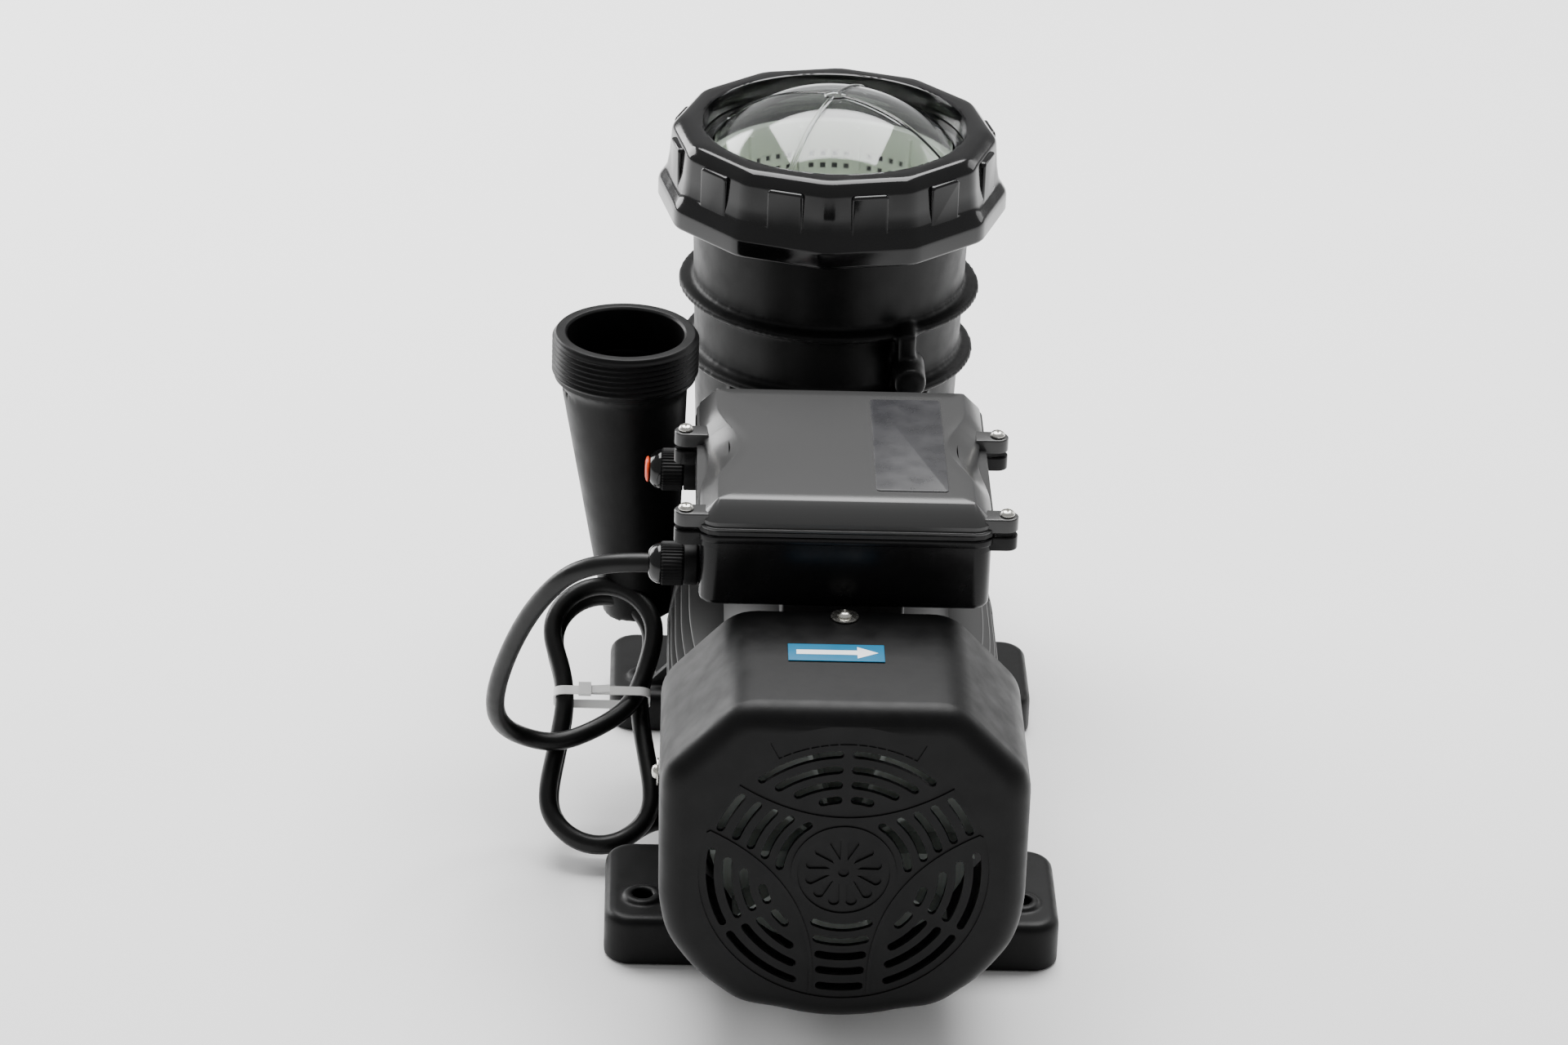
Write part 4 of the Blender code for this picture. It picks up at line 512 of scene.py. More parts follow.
def cross_screw(name, place, axis, radius, height, body="root", replaces=()):
    """A pan head with a cross recess; place is the underside of the head."""
    turn = AXES[axis]
    profile = [(0, height), (radius * 0.45, height * 0.97), (radius * 0.80, height * 0.72),
               (radius, height * 0.28), (radius, 0), (0, 0)]
    head = piece(name, turned(profile, place, axis, 48, radius * 0.12), zinc(), body, replaces)
    arms = []
    for across in (0, 1):
        half_x = radius * (0.60 if across else 0.115)
        half_y = radius * (0.115 if across else 0.60)
        arm = bmesh.new()
        loops = []
        for level, share in ((height * 0.30, 0.55), (height * 1.2, 1.1)):
            loops.append([Vector(place) + turn @ Vector((x * half_x * share, y * half_y * share, level))
                          for x, y in ((-1, -1), (1, -1), (1, 1), (-1, 1))])
        skin(loops, shape=arm)
        arms.append(arm)
    combine(head, "DIFFERENCE", arms)
    return head


# ---------------------------------------------------------------- fan cover

COVER_HALF = (COVER_HIGH.x - COVER_LOW.x) / 2
COVER_UP = COVER_HIGH.z - AXIS_Z
COVER_DOWN = AXIS_Z - COVER_LOW.z
COVER_DEPTH = COVER_HIGH.y - COVER_LOW.y
COVER_FACET = 0.052
COVER_SIDE_UP = 0.0500
COVER_WALL = 0.0026
COVER_NOSE = 0.012
SLOT_RADII = (0.0652, 0.0566, 0.0484, 0.0405, 0.0325)
SLOT_WIDTH = 0.0041
FAN_SECTORS = (30, 150, 270)
FAN_HALF_ANGLES = (10.5, 12.5, 15.5, 20.5, 29.0)
LENS_SECTORS = (90, 210, 330)
LENS_RINGS = ((0.0634, 41.0, 0.0038), (0.0552, 37.5, 0.0041), (0.0472, 31.5, 0.0041), (0.0392, 19.5, 0.0041))
LENS_BRIDGE = 0.0038
HUB_RADIUS = 0.0250
PETALS = 12


def cover_outline():
    """The fan cover from its end: flat top, sloped shoulders, drawn-in lower corners, curved bottom."""
    half = COVER_HALF
    right = [(half, -0.020), (half, COVER_SIDE_UP), (COVER_FACET, COVER_UP)]
    left = [(-x, z) for x, z in reversed(right)]
    low_left = [(-half, -0.020), (-0.0835, -0.0400), (-0.0690, -0.0600), (-0.0480, -0.0765)]
    bottom = [(x, -math.sqrt(0.103 ** 2 - x ** 2) + 0.103 - COVER_DOWN)
              for x in (-0.030, -0.018, -0.006, 0.006, 0.018, 0.030)]
    low_right = [(-x, z) for x, z in reversed(low_left)]
    outline = right + left[:-1] + low_left + bottom + low_right[:-1]
    return ease(outline, 0.010, 6, closed=True)


def cover_loop(shrink, depth):
    return [at(x, depth, AXIS_Z + z) for x, z in inset(cover_outline(), shrink)]


def slot_cutter(radius, width, start, end, depth=0.02, ends=4):
    """A curved slot with rounded ends, seen from the fan end; angles in degrees."""
    reach = math.degrees(width / 2 / radius)
    outline = arc(radius + width / 2, start + reach, end - reach, 14)
    tip = Vector((math.cos(math.radians(end - reach)), math.sin(math.radians(end - reach)))) * radius
    outline += arc(width / 2, end - reach, end - reach + 180, ends, tip)[1:-1]
    outline += arc(radius - width / 2, end - reach, start + reach, 14)
    tip = Vector((math.cos(math.radians(start + reach)), math.sin(math.radians(start + reach)))) * radius
    outline += arc(width / 2, start + reach + 180, start + reach + 360, ends, tip)[1:-1]
    return face_on(outline, -0.005, depth)


def grille_cutters():
    cutters = []
    for middle in FAN_SECTORS:
        for radius, half in zip(SLOT_RADII, FAN_HALF_ANGLES):
            cutters.append(slot_cutter(radius - SLOT_WIDTH / 2, SLOT_WIDTH, middle - half, middle + half))
    for middle in LENS_SECTORS:
        for radius, half, width in LENS_RINGS:
            gap = math.degrees(LENS_BRIDGE / 2 / radius)
            cutters.append(slot_cutter(radius, width, middle - half, middle - gap))
            cutters.append(slot_cutter(radius, width, middle + gap, middle + half))
    return cutters


def petal(angle):
    """One teardrop recess of the hub's rosette."""
    turn = math.radians(angle)
    outline = [(0.0065, 0.0)] + arc(0.0028, -80, 80, 8, (0.0158, 0.0))
    placed = [(x * math.cos(turn) - y * math.sin(turn), x * math.sin(turn) + y * math.cos(turn))
              for x, y in outline]
    return face_on(placed, -0.002, 0.0040)


def disc_cutter(radius, depth):
    return rod(radius, depth + 0.004, at(0, -0.004, AXIS_Z), "Y", 96)


def ring_cutter(outer, inner, depth):
    return tube(outer, inner, depth + 0.004, at(0, -0.004, AXIS_Z), "Y", 96, 0)


def fan_cover():
    """The moulded hood with its grille, hub rosette and label seat."""
    nose = [(COVER_NOSE * (1 - math.cos(math.radians(a))), COVER_NOSE * (1 - math.sin(math.radians(a))))
            for a in range(90, -1, -10)]
    outer = [cover_loop(shrink, depth) for shrink, depth in nose]
    outer.append(cover_loop(0, COVER_DEPTH - 0.0015))
    outer.append(cover_loop(0.0010, COVER_DEPTH))
    inner = [cover_loop(COVER_WALL, COVER_DEPTH), cover_loop(COVER_WALL, COVER_NOSE + 0.002),
             cover_loop(COVER_WALL + 0.004, 0.0055), cover_loop(COVER_NOSE + 0.003, 0.0034)]
    cover = piece("fan_cover_shell", skin(outer + inner), satin_black(),
                  replaces=("fan_cover",))
    label_seat = arc(0.0785, 62, 118, 24) + arc(0.0690, 118, 62, 24)
    cutters = [face_on(label_seat, -0.003, 0.0036)]
    cutters += [ring_cutter(0.0690, 0.0250, 0.0008), disc_cutter(HUB_RADIUS - 0.0030, 0.0009)]
    combine(cover, "DIFFERENCE", cutters)
    combine(cover, "UNION", lens_frames())
    cutters = grille_cutters()
    cutters += [petal(360 * index / PETALS + 15) for index in range(PETALS)]
    cutters.append(rod(0.0026, 0.0060, at(0, -0.004, AXIS_Z), "Y", 32))
    combine(cover, "DIFFERENCE", cutters)
    return cover


def lens_frames():
    """The raised rims along both edges of the three lens-shaped sectors, bowed towards the hub."""
    frames = []
    for middle in LENS_SECTORS:
        turn = math.radians(middle)
        edge = []
        for step in range(-12, 13):
            share = step / 12
            edge.append((0.0288 + 0.0165 * share ** 2, 0.0505 * share))
        outline = [(x - 0.0010, y) for x, y in edge] + [(x + 0.0010, y) for x, y in reversed(edge)]
        placed = [(x * math.cos(turn) - y * math.sin(turn), x * math.sin(turn) + y * math.cos(turn))
                  for x, y in outline]
        frames.append(face_on(placed, 0.0, 0.0020))
    return frames


# ---------------------------------------------------------------- motor

FIN_PITCH = 0.0080
FIN_ROOT = 0.0700
FIN_TIP = 0.0840
FIN_NOSE = 0.0760
FIN_CURVE = 0.0950
FIN_ROOT_THICKNESS = 0.0030
FIN_TIP_THICKNESS = 0.0018


def fin_radius(depth):
    """How far out the fins reach: they curve in towards the fan cover."""
    share = min(1.0, max(0.0, (depth - COVER_DEPTH) / FIN_CURVE))
    return FIN_NOSE + (FIN_TIP - FIN_NOSE) * math.sin(share * math.pi / 2)


def fin(shape, side, level, start, end):
    """One horizontal fin with a thin, rounded edge and a rounded far end."""
    loops = []
    for index in range(25):
        share = index / 24
        depth = start + (end - start) * share
        radius = fin_radius(depth)
        fall = max(0.0, 1 - (end - depth) / 0.006) * 0.006
        tip = math.sqrt(max(radius ** 2 - level ** 2, 0.001)) - fall
        root = math.sqrt(max((FIN_ROOT - 0.002) ** 2 - level ** 2, 0.0004))
        thick = FIN_ROOT_THICKNESS / 2
        thin = FIN_TIP_THICKNESS / 2
        section = [(root, -thick), (tip - 0.0012, -thin), (tip - 0.0003, -thin * 0.6), (tip, 0),
                   (tip - 0.0003, thin * 0.6), (tip - 0.0012, thin), (root, thick)]
        loops.append([at(side * x, depth, AXIS_Z + level + z) for x, z in section])
    skin(loops, shape=shape)


def motor_housing():
    """The cast barrel with its side fins, the pad for the box and the lugs for the cover."""
    low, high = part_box("motor_housing")
    start = low.y - FACE_Y
    end = high.y - FACE_Y
    profile = [(FIN_ROOT, end - start), (FIN_ROOT, 0), (FIN_ROOT - 0.006, 0), (FIN_ROOT - 0.006, end - start)]
    shape = turned(profile, at(0, start, AXIS_Z), "Y", 120, 0.001, ring=True)
    collar = [(FIN_TIP, 0.006), (FIN_TIP, 0), (FIN_ROOT - 0.001, 0), (FIN_ROOT - 0.001, 0.006)]
    turned(collar, at(0, end - 0.006, AXIS_Z), "Y", 120, 0.0012, ring=True, shape=shape)
    for side in (-1, 1):
        for index in range(-5, 6):
            fin(shape, side, index * FIN_PITCH, start + 0.008, end - 0.003)
    pad_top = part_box("junction_box_base")[0].z - SMALL
    block(at(-0.030, 0.121, AXIS_Z + 0.060), at(0.030, end - 0.012, pad_top), 0.002, shape)
    block(at(-0.024, COVER_DEPTH + 0.002, AXIS_Z - 0.080), at(0.024, end - 0.012, AXIS_Z - 0.062),
          0.002, shape)
    return piece("motor_barrel", shape, motor_paint(), replaces=("motor_housing",))


def cover_screws():
    """The silver screws and washers round the fan cover's open end."""
    depth = COVER_DEPTH - 0.007
    radius = 0.0036
    places = {
        "top": (at(0, depth, COVER_HIGH.z), "Z", 0.0026),
        "left": (at(COVER_LOW.x, depth, AXIS_Z), "-X", 0.0026),
        "right": (at(COVER_HIGH.x, depth, AXIS_Z), "X", 0.0026),
        "bottom": (at(0, depth, COVER_LOW.z), "-Z", 0.0006),
    }
    for name, (place, axis, height) in places.items():
        out = AXES[axis] @ Vector((0, 0, 1))
        node = f"fan_cover_screw_{name}"
        washer = tube(0.0068, 0.0021, 0.0009, place + out * SMALL, axis, 48, 0.0002)
        piece(f"cover_washer_{name}", washer, zinc(), replaces=(node,))
        cross_screw(f"cover_screw_{name}", place + out * 0.0012, axis, radius, height)


def direction_label():
    """A teal foil with a white arrow; it carries no lettering."""
    low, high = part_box("direction_label")
    foil = block((low.x, low.y, low.z), (high.x, high.y, high.z), 0.0003)
    piece("arrow_foil", foil, teal_foil(), replaces=("direction_label",))
    middle = (low.y + high.y) / 2
    half = 0.0022
    outline = [(low.x + 0.004, middle - half), (high.x - 0.013, middle - half),
               (high.x - 0.013, middle - 0.0058), (high.x - 0.003, middle),
               (high.x - 0.013, middle + 0.0058), (high.x - 0.013, middle + half),
               (low.x + 0.004, middle + half)]
    arrow = slab(outline, high.z, high.z + 0.0001, 0)
    piece("arrow_print", arrow, white_print())


# ---------------------------------------------------------------- pump end

VOLUTE_LOW, VOLUTE_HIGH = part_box("volute_casing")
POT_LOW, POT_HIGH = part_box("strainer_pot")
DISCHARGE = Vector(MOUNTS["discharge_port"]["pos_m"])
SUCTION_Z = 0.1500
PORT_RADIUS = 0.0376
PORT_BORE = 0.0299
PORT_THREAD_LENGTH = 0.0230
PORT_THREADS = 7
THREAD_DEPTH = 0.0013
NECK_RADIUS = 0.0400
NECK_BORE = 0.0290
FLANGE_RADIUS = 0.0540
FLANGE_THICKNESS = 0.0080
THROAT = 0.0190
CASTING_VOXEL = 0.0016


def cone(start, end, start_radius, end_radius, steps=64):
    """A tapering pipe between two places."""
    start = Vector(start)
    along = Vector(end) - start
    turn = along.to_track_quat("Z", "Y").to_matrix()
    profile = [(0, along.length), (end_radius, along.length), (start_radius, 0), (0, 0)]
    return turned(profile, start, turn, steps, 0)


def thread_collar(name, place, axis, replaces=()):
    """The port's ring: a chamfered face, rounded thread ridges and a chamfered bore."""
    length = PORT_THREAD_LENGTH
    pitch = (length - 0.003) / PORT_THREADS
    profile = [(PORT_BORE + 0.0012, length), (PORT_RADIUS - 0.0022, length),
               (PORT_RADIUS - 0.0016, length - 0.0006)]
    for index in range(PORT_THREADS):
        top = length - 0.0016 - index * pitch
        profile += [(PORT_RADIUS - THREAD_DEPTH, top), (PORT_RADIUS - 0.0002, top - pitch * 0.36),
                    (PORT_RADIUS, top - pitch * 0.50), (PORT_RADIUS - 0.0002, top - pitch * 0.64)]
    profile += [(PORT_RADIUS - THREAD_DEPTH, 0.0012), (PORT_RADIUS - THREAD_DEPTH, -0.001),
                (PORT_BORE, -0.001), (PORT_BORE, length - 0.0012)]
    collar = turned(profile, place, axis, 128, 0.0004, ring=True)
    return piece(name, collar, satin_black(), replaces=replaces, degrees=50)


def volute():
    """The pump casing with its neck, flange and tapering discharge branch."""
    start = VOLUTE_LOW.y
    length = 0.0520
    radius = 0.0800
    neck_end = VOLUTE_HIGH.y
    centre = Vector((0, start, AXIS_Z))
    profile = [(0, length), (radius - 0.014, length), (radius - 0.004, length - 0.005),
               (radius, length - 0.014), (radius, 0), (0, 0)]
    body = turned(profile, centre, "Y", 120, 0.003)
    casing = piece("volute_shell", body, satin_black(), replaces=("volute_casing",))
    collar_foot = DISCHARGE - Vector((0, 0, PORT_THREAD_LENGTH))
    shoulder = collar_foot - Vector((0, 0, 0.0060))
    foot = Vector((DISCHARGE.x + 0.010, DISCHARGE.y, AXIS_Z - 0.012))
    grown = [
        cone(foot, shoulder, THROAT, PORT_RADIUS - 0.0053),
        cone(shoulder, collar_foot + Vector((0, 0, 0.0005)), PORT_RADIUS - 0.0053, PORT_RADIUS - 0.0010),
        rod(NECK_RADIUS, neck_end - start - 0.01, centre + Vector((0, 0.01, 0)), "Y", 96),
        rod(FLANGE_RADIUS, FLANGE_THICKNESS, Vector((0, neck_end - FLANGE_THICKNESS, AXIS_Z)), "Y", 96),
    ]
    for index in range(8):
        angle = math.tau * (index + 0.5) / 8
        rib = block((-0.0016, 0.030, radius - 0.012), (0.0016, 0.060, radius - 0.001), 0.0005)
        bmesh.ops.rotate(rib, verts=rib.verts, cent=(0, 0, 0), matrix=Matrix.Rotation(angle, 3, "Y"))
        bmesh.ops.translate(rib, verts=rib.verts, vec=centre)
        if index not in (4, 5):
            grown.append(rib)
    combine(casing, "UNION", grown)
    cut_away = [
        rod(radius - 0.005, length - 0.005 + 0.010, centre - Vector((0, 0.010, 0)), "Y", 96),
        rod(NECK_BORE, 0.15, centre, "Y", 64),
        cone(foot, shoulder, THROAT - 0.005, PORT_BORE - 0.003),
        rod(PORT_BORE, 0.060, collar_foot - Vector((0, 0, 0.0085)), "Z", 64),
    ]
    combine(casing, "DIFFERENCE", cut_away)
    flow(casing, CASTING_VOXEL, 3)
    thread_collar("discharge_thread", collar_foot, "Z")
    return casing


def pot_radius(height):
    share = (height - POT_LOW.z) / (POT_HIGH.z - POT_LOW.z)
    return 0.0660 + 0.0090 * share


def strainer_pot():
    """The pot with its two hoops, the suction pipe, the neck's flange and the clamp lug."""
    top = POT_HIGH.z
    foot = POT_LOW.z
    profile = [(0, top), (pot_radius(top), top)]
    for height, radius in ((0.2180, 0.0810), (0.1820, 0.0790)):
        profile += [(pot_radius(height), height + 0.0030), (radius - 0.0008, height + 0.0018),
                    (radius, height), (radius - 0.0008, height - 0.0018),
                    (pot_radius(height), height - 0.0030)]
    profile += [(pot_radius(foot + 0.008), foot + 0.008), (pot_radius(foot) - 0.008, foot), (0, foot)]
    body = turned(profile, (0, POT_Y, 0), "Z", 128, 0.0004)
    pot = piece("pot_shell", body, satin_black(), replaces=("strainer_pot",))
    face = POT_HIGH.y
    neck = POT_LOW.y
    drain = drain_place()
    grown = [
        rod(PORT_RADIUS - 0.0025, face - PORT_THREAD_LENGTH - POT_Y - 0.030,
            (0, POT_Y + 0.030, SUCTION_Z), "Y"),
        rod(PORT_RADIUS, 0.004, (0, face - PORT_THREAD_LENGTH - 0.006, SUCTION_Z), "Y", 96),
        rod(NECK_RADIUS - 0.003, POT_Y - neck - 0.030, (0, neck, AXIS_Z), "Y", 96),
        rod(FLANGE_RADIUS, FLANGE_THICKNESS, (0, neck, AXIS_Z), "Y", 96),
        rod(0.0085, 0.030, (0.041, POT_Y - 0.094, 0.2000), "Y", 48, 0.003),
        block((0.0345, POT_Y - 0.080, 0.150), (0.0440, POT_Y - 0.050, 0.222), 0.002),
        rod(0.0110, 0.020, drain - Vector((0.020, 0, 0)), "X", 48),
    ]
    for side in (-1, 1):
        grown.append(block((side * 0.052 - 0.0015, POT_Y - 0.052, foot + 0.004),
                           (side * 0.052 + 0.0015, POT_Y - 0.030, 0.176), 0.0006))
    combine(pot, "UNION", grown)
    inner_top = pot_radius(top) - 0.0045
    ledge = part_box("strainer_basket")[1].z - 0.0025 - SMALL
    hollow = [(0, top + 0.01), (inner_top, top + 0.01), (inner_top, ledge), (0.0652, ledge),
              (0.0652, ledge - 0.003), (pot_radius(ledge) - 0.0045, ledge - 0.009),
              (0.0615, foot + 0.0105), (0.0555, foot + 0.0045), (0, foot + 0.0045)]
    cut_away = [
        turned(hollow, (0, POT_Y, 0), "Z", 128, 0),
        rod(PORT_BORE, 0.14, (0, POT_Y + 0.040, SUCTION_Z), "Y", 64),
        rod(NECK_BORE, POT_Y - neck - 0.030, (0, neck - 0.010, AXIS_Z), "Y", 64),
        rod(0.0073, 0.080, drain - Vector((0.030, 0, 0)), "X", 32),
    ]
    combine(pot, "DIFFERENCE", cut_away)
    flow(pot, CASTING_VOXEL, 3)
    thread_collar("suction_thread", (0, face - PORT_THREAD_LENGTH, SUCTION_Z), "Y")
    return pot


def drain_place():
    """The drain boss's face, under the drain plug's head."""
    low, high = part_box("drain_plug_seal")
    return Vector((low.x - SMALL, (low.y + high.y) / 2, (low.z + high.z) / 2))


def drain_plug():
    """A winged plug on its seal at the pot's foot."""
    place = drain_place()
    radius = (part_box("drain_plug")[1].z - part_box("drain_plug")[0].z) / 2
    profile = [(0, 0.0075), (radius - 0.0015, 0.0075), (radius, 0.0060), (radius, 0.0024), (0.0070, 0.0024),
               (0.0070, -0.0100), (0, -0.0100)]
    knob = piece("drain_knob", turned(profile, place, "X", 48, 0.0008), matt_black(), "drain",
                 ("drain_plug",))
    wing = block(place + Vector((0.005, -0.0018, -radius * 0.72)),
                 place + Vector((0.0118, 0.0018, radius * 0.72)), 0.001)
    notches = []
    for index in range(12):
        angle = math.tau * index / 12
        side = Vector((0, math.cos(angle), math.sin(angle))) * (radius + 0.0007)
        notches.append(rod(0.0012, 0.02, place + side + Vector((0.0010, 0, 0)), "X", 16))
    combine(knob, "UNION", [wing])
    combine(knob, "DIFFERENCE", notches)


# ---------------------------------------------------------------- lid, ring and basket

RING_SIDES = 12
RING_TURN = 86.4
RIB_TURN = 65.5


def ring_loop(radius, height, soft=0.0045, mids=6):
    """One round of the ring: a twelve-sided outline with eased corners."""
    centre = Vector((0, POT_Y, height))
    points = []
    angles = [math.radians(RING_TURN + 30 * index) for index in range(RING_SIDES)]
    corners = [Vector((math.cos(angle), math.sin(angle))) * radius for angle in angles]
    for index, corner in enumerate(corners):
        after = corners[(index + 1) % RING_SIDES]
        before = corners[index - 1]
        enter = corner + (before - corner).normalized() * soft
        leave = corner + (after - corner).normalized() * soft
        for share in (0.0, 0.25, 0.5, 0.75, 1.0):
            points.append(enter * (1 - share) ** 2 + corner * 2 * share * (1 - share) + leave * share ** 2)
        finish = after + (corner - after).normalized() * soft
        for step in range(1, mids + 1):
            points.append(leave.lerp(finish, step / (mids + 1)))
    return [centre + Vector((point.x, point.y, 0)) for point in points]


def circle_like(loop, radius, height):
    """A circle with its points at the same angles as the loop's."""
    centre = Vector((0, POT_Y, height))
    return [centre + Vector((point.x, point.y - POT_Y, 0)).normalized() * radius for point in loop]


def lock_ring():
    """The twelve-sided locking ring with a grip pad on each side."""
    low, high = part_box("lid_lock_ring")
    base = low.z
    height = high.z - low.z
    radius = 0.0867
    skirt = 0.0935
    opening = 0.0697
    pocket = (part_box("clear_lid")[1].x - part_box("clear_lid")[0].x) / 2 + 0.0015
    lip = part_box("clear_lid")[0].z + 0.0050 + SMALL
    outer = ease([(skirt - 0.006, 0), (skirt - 0.0008, 0), (skirt, 0.0012), (skirt, 0.0105),
                  (radius + 0.0024, 0.0170), (radius + 0.0010, 0.0250), (radius, height - 0.0055),
                  (radius - 0.0042, height - 0.0008),
                  (radius - 0.0090, height), (opening + 0.0030, height)], 0.0022, 4)
    loops = [ring_loop(r, base + z) for r, z in outer]
    guide = loops[-1]
    inner = [(opening + 0.0012, base + height), (opening + 0.0003, base + height - 0.0004),
             (opening, base + height - 0.0014), (opening, lip), (pocket, lip), (pocket, base + 0.0005),
             (pocket + 0.0005, base)]
    loops += [circle_like(guide, r, z) for r, z in inner]
    ring = piece("ring_shell", skin(loops, ring=True), gloss_black(), "lock_ring",
                 ("lid_lock_ring",), 38)
    apothem = radius * math.cos(math.pi / RING_SIDES)
    pads = []
    for index in range(RING_SIDES):
        pads.append(ring_pad(apothem, base, height, RING_TURN + 30 * (index + 0.5)))
    combine(ring, "UNION", pads, 38)
    return ring


def ring_pad(apothem, base, height, angle):
    """A raised pad on one of the ring's sides, rounded all round."""
    outline = round_rectangle(0.0098, (height - 0.0190) / 2, 0.0022, 5)
    turn = Matrix.Rotation(math.radians(angle), 3, "Z") @ AXES["X"]
    middle = base + 0.0125 + (height - 0.0190) / 2
    out = Matrix.Rotation(math.radians(angle), 3, "Z") @ Vector((apothem, 0, 0))
    swapped = [(-z, y) for y, z in outline]
    return slab(swapped, -0.004, 0.0026, 0.0014, out + Vector((0, POT_Y, middle)), turn)


def clear_lid():
    """The clear dome with its flange and two ribs that cross at the top."""
    low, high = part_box("clear_lid")
    base = low.z + 0.0050
    rise = high.z - base
    radius = 0.0650
    wall = 0.0030
    sphere = (radius ** 2 + rise ** 2) / (2 * rise)
    drop = sphere - rise
    edge = math.degrees(math.asin(radius / sphere))
    outer = [(r, z - drop + base) for z, r in arc(sphere - 0.0008, 0, edge, 20)]
    inside = sphere - wall
    inner_edge = math.degrees(math.asin((radius - wall) / inside))
    inner = [(r, z - drop + base) for z, r in arc(inside, inner_edge, 0, 20)]
    rim = (high.x - low.x) / 2
    profile = [(0, outer[0][1])] + outer[1:] + [(rim - 0.0005, base), (rim, base - 0.0005), (rim, low.z)]
    profile += [(radius - wall, low.z)] + inner[:-1] + [(0, inner[-1][1])]
    dome = turned(profile, (0, POT_Y, 0), "Z", 128, 0)
    lid = piece("lid_dome", dome, clear_plastic(), "lid", ("clear_lid",), 40)
    ribs = [dome_rib(sphere, drop - base, edge, RIB_TURN + 90 * index) for index in range(2)]
    ribs.append(turned([(0, base + rise), (0.0055, base + rise - 0.0003), (0.0062, base + rise - 0.0010),
                        (0.0062, base + rise - 0.0030), (0, base + rise - 0.0030)], (0, POT_Y, 0), "Z", 48, 0))
    combine(lid, "UNION", ribs, 40)
    return lid


def dome_rib(sphere, drop, edge, angle):
    """A low rib that runs over the whole dome."""
    turn = Matrix.Rotation(math.radians(angle), 3, "Z")
    loops = []
    for step in range(41):
        tilt = math.radians(-edge * 0.94 + edge * 1.88 * step / 40)
        loop = []
        for across, up in ((-0.0015, -0.0020), (0.0015, -0.0020), (0.0013, -0.0002), (0.0006, 0.0001),
                           (-0.0006, 0.0001), (-0.0013, -0.0002)):
            radius = sphere - 0.0002 + up
            local = Vector((radius * math.sin(tilt), across, radius * math.cos(tilt) - drop))
            loop.append(turn @ local + Vector((0, POT_Y, 0)))
        loops.append(loop)
    return skin(loops)


def basket():
    """The strainer basket: a tapering lattice with a solid floor, rim and upright ribs."""
    low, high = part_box("strainer_basket")
    top = (high.x - low.x) / 2 - 0.0030
    foot = top - 0.0100
    height = high.z - low.z
    shape = bmesh.new()
    columns = 60
    rows = 18
    first = 0.010
    last = height - 0.016
    for column in range(columns):
        for row in range(rows):
            lattice_cell(shape, low.z, height, foot, top, column, columns,
                         first + (last - first) * row / rows, first + (last - first) * (row + 1) / rows)
    bmesh.ops.remove_doubles(shape, verts=shape.verts, dist=0.00001)
    wall = piece("basket_lattice", shape, basket_plastic(), "basket",
                 ("strainer_basket",), 40)
    solid = wall.modifiers.new("wall", "SOLIDIFY")
    solid.thickness = 0.0016
    solid.offset = -1
    floor = [(0, 0.0022), (foot - 0.003, 0.0022), (foot + 0.0002, first + 0.001),
             (foot + 0.0020, first + 0.001), (foot, 0), (0, 0)]
    piece("basket_floor", turned(floor, (0, POT_Y, low.z), "Z", 96, 0.0008), basket_plastic(), "basket")
    rim_low = basket_radius(last, height, foot, top)
    rim = [(top + 0.0030, height), (top + 0.0030, height - 0.0025), (top + 0.0001, height - 0.0025),
           (rim_low, last - 0.0005), (rim_low - 0.0022, last - 0.0005), (top - 0.0024, height)]
    piece("basket_rim", turned(rim, (0, POT_Y, low.z), "Z", 96, 0.0006, ring=True), basket_plastic(),
          "basket")
    ribs = bmesh.new()
    for index in range(12):
        angle = math.tau * (index + 0.5) / 12
        across = Vector((-math.sin(angle), math.cos(angle), 0)) * 0.0011
        loops = []
        for level in (0.002, height - 0.003):
            radius = basket_radius(level, height, foot, top)
            out = Vector((math.cos(angle), math.sin(angle), 0))
            centre = Vector((0, POT_Y, low.z + level))
            back = centre + out * (radius - 0.0040)
            front = centre + out * (radius - 0.0002)
            loops.append([back - across, back + across, front + across, front - across])
        skin(loops, shape=ribs)
    piece("basket_ribs", ribs, basket_plastic(), "basket")


def basket_radius(level, height, foot, top):
    return foot + (top - foot) * level / height


def lattice_cell(shape, base, height, foot, top, column, columns, low, high):
    """Four faces round one square opening of the basket's wall."""
    side = math.tau / columns
    bar = 0.26
    corners = []
    holes = []
    for across, up in ((0, 0), (1, 0), (1, 1), (0, 1)):
        for share, target in ((0.0, corners), (bar, holes)):
            u = across + share * (1 - 2 * across)
            v = up + share * (1 - 2 * up)
            angle = side * (column + u)
            level = low + (high - low) * v
            radius = basket_radius(level, height, foot, top)
            place = (radius * math.cos(angle), POT_Y + radius * math.sin(angle), base + level)
            target.append(shape.verts.new(place))
    for index in range(4):
        after = (index + 1) % 4
        shape.faces.new((corners[index], corners[after], holes[after], holes[index]))


# ---------------------------------------------------------------- feet

HOLE_INSET = 0.0190
HOLE_RADIUS = 0.0050
BOSS_RADIUS = 0.0098
FOOT_VOXEL = 0.0011


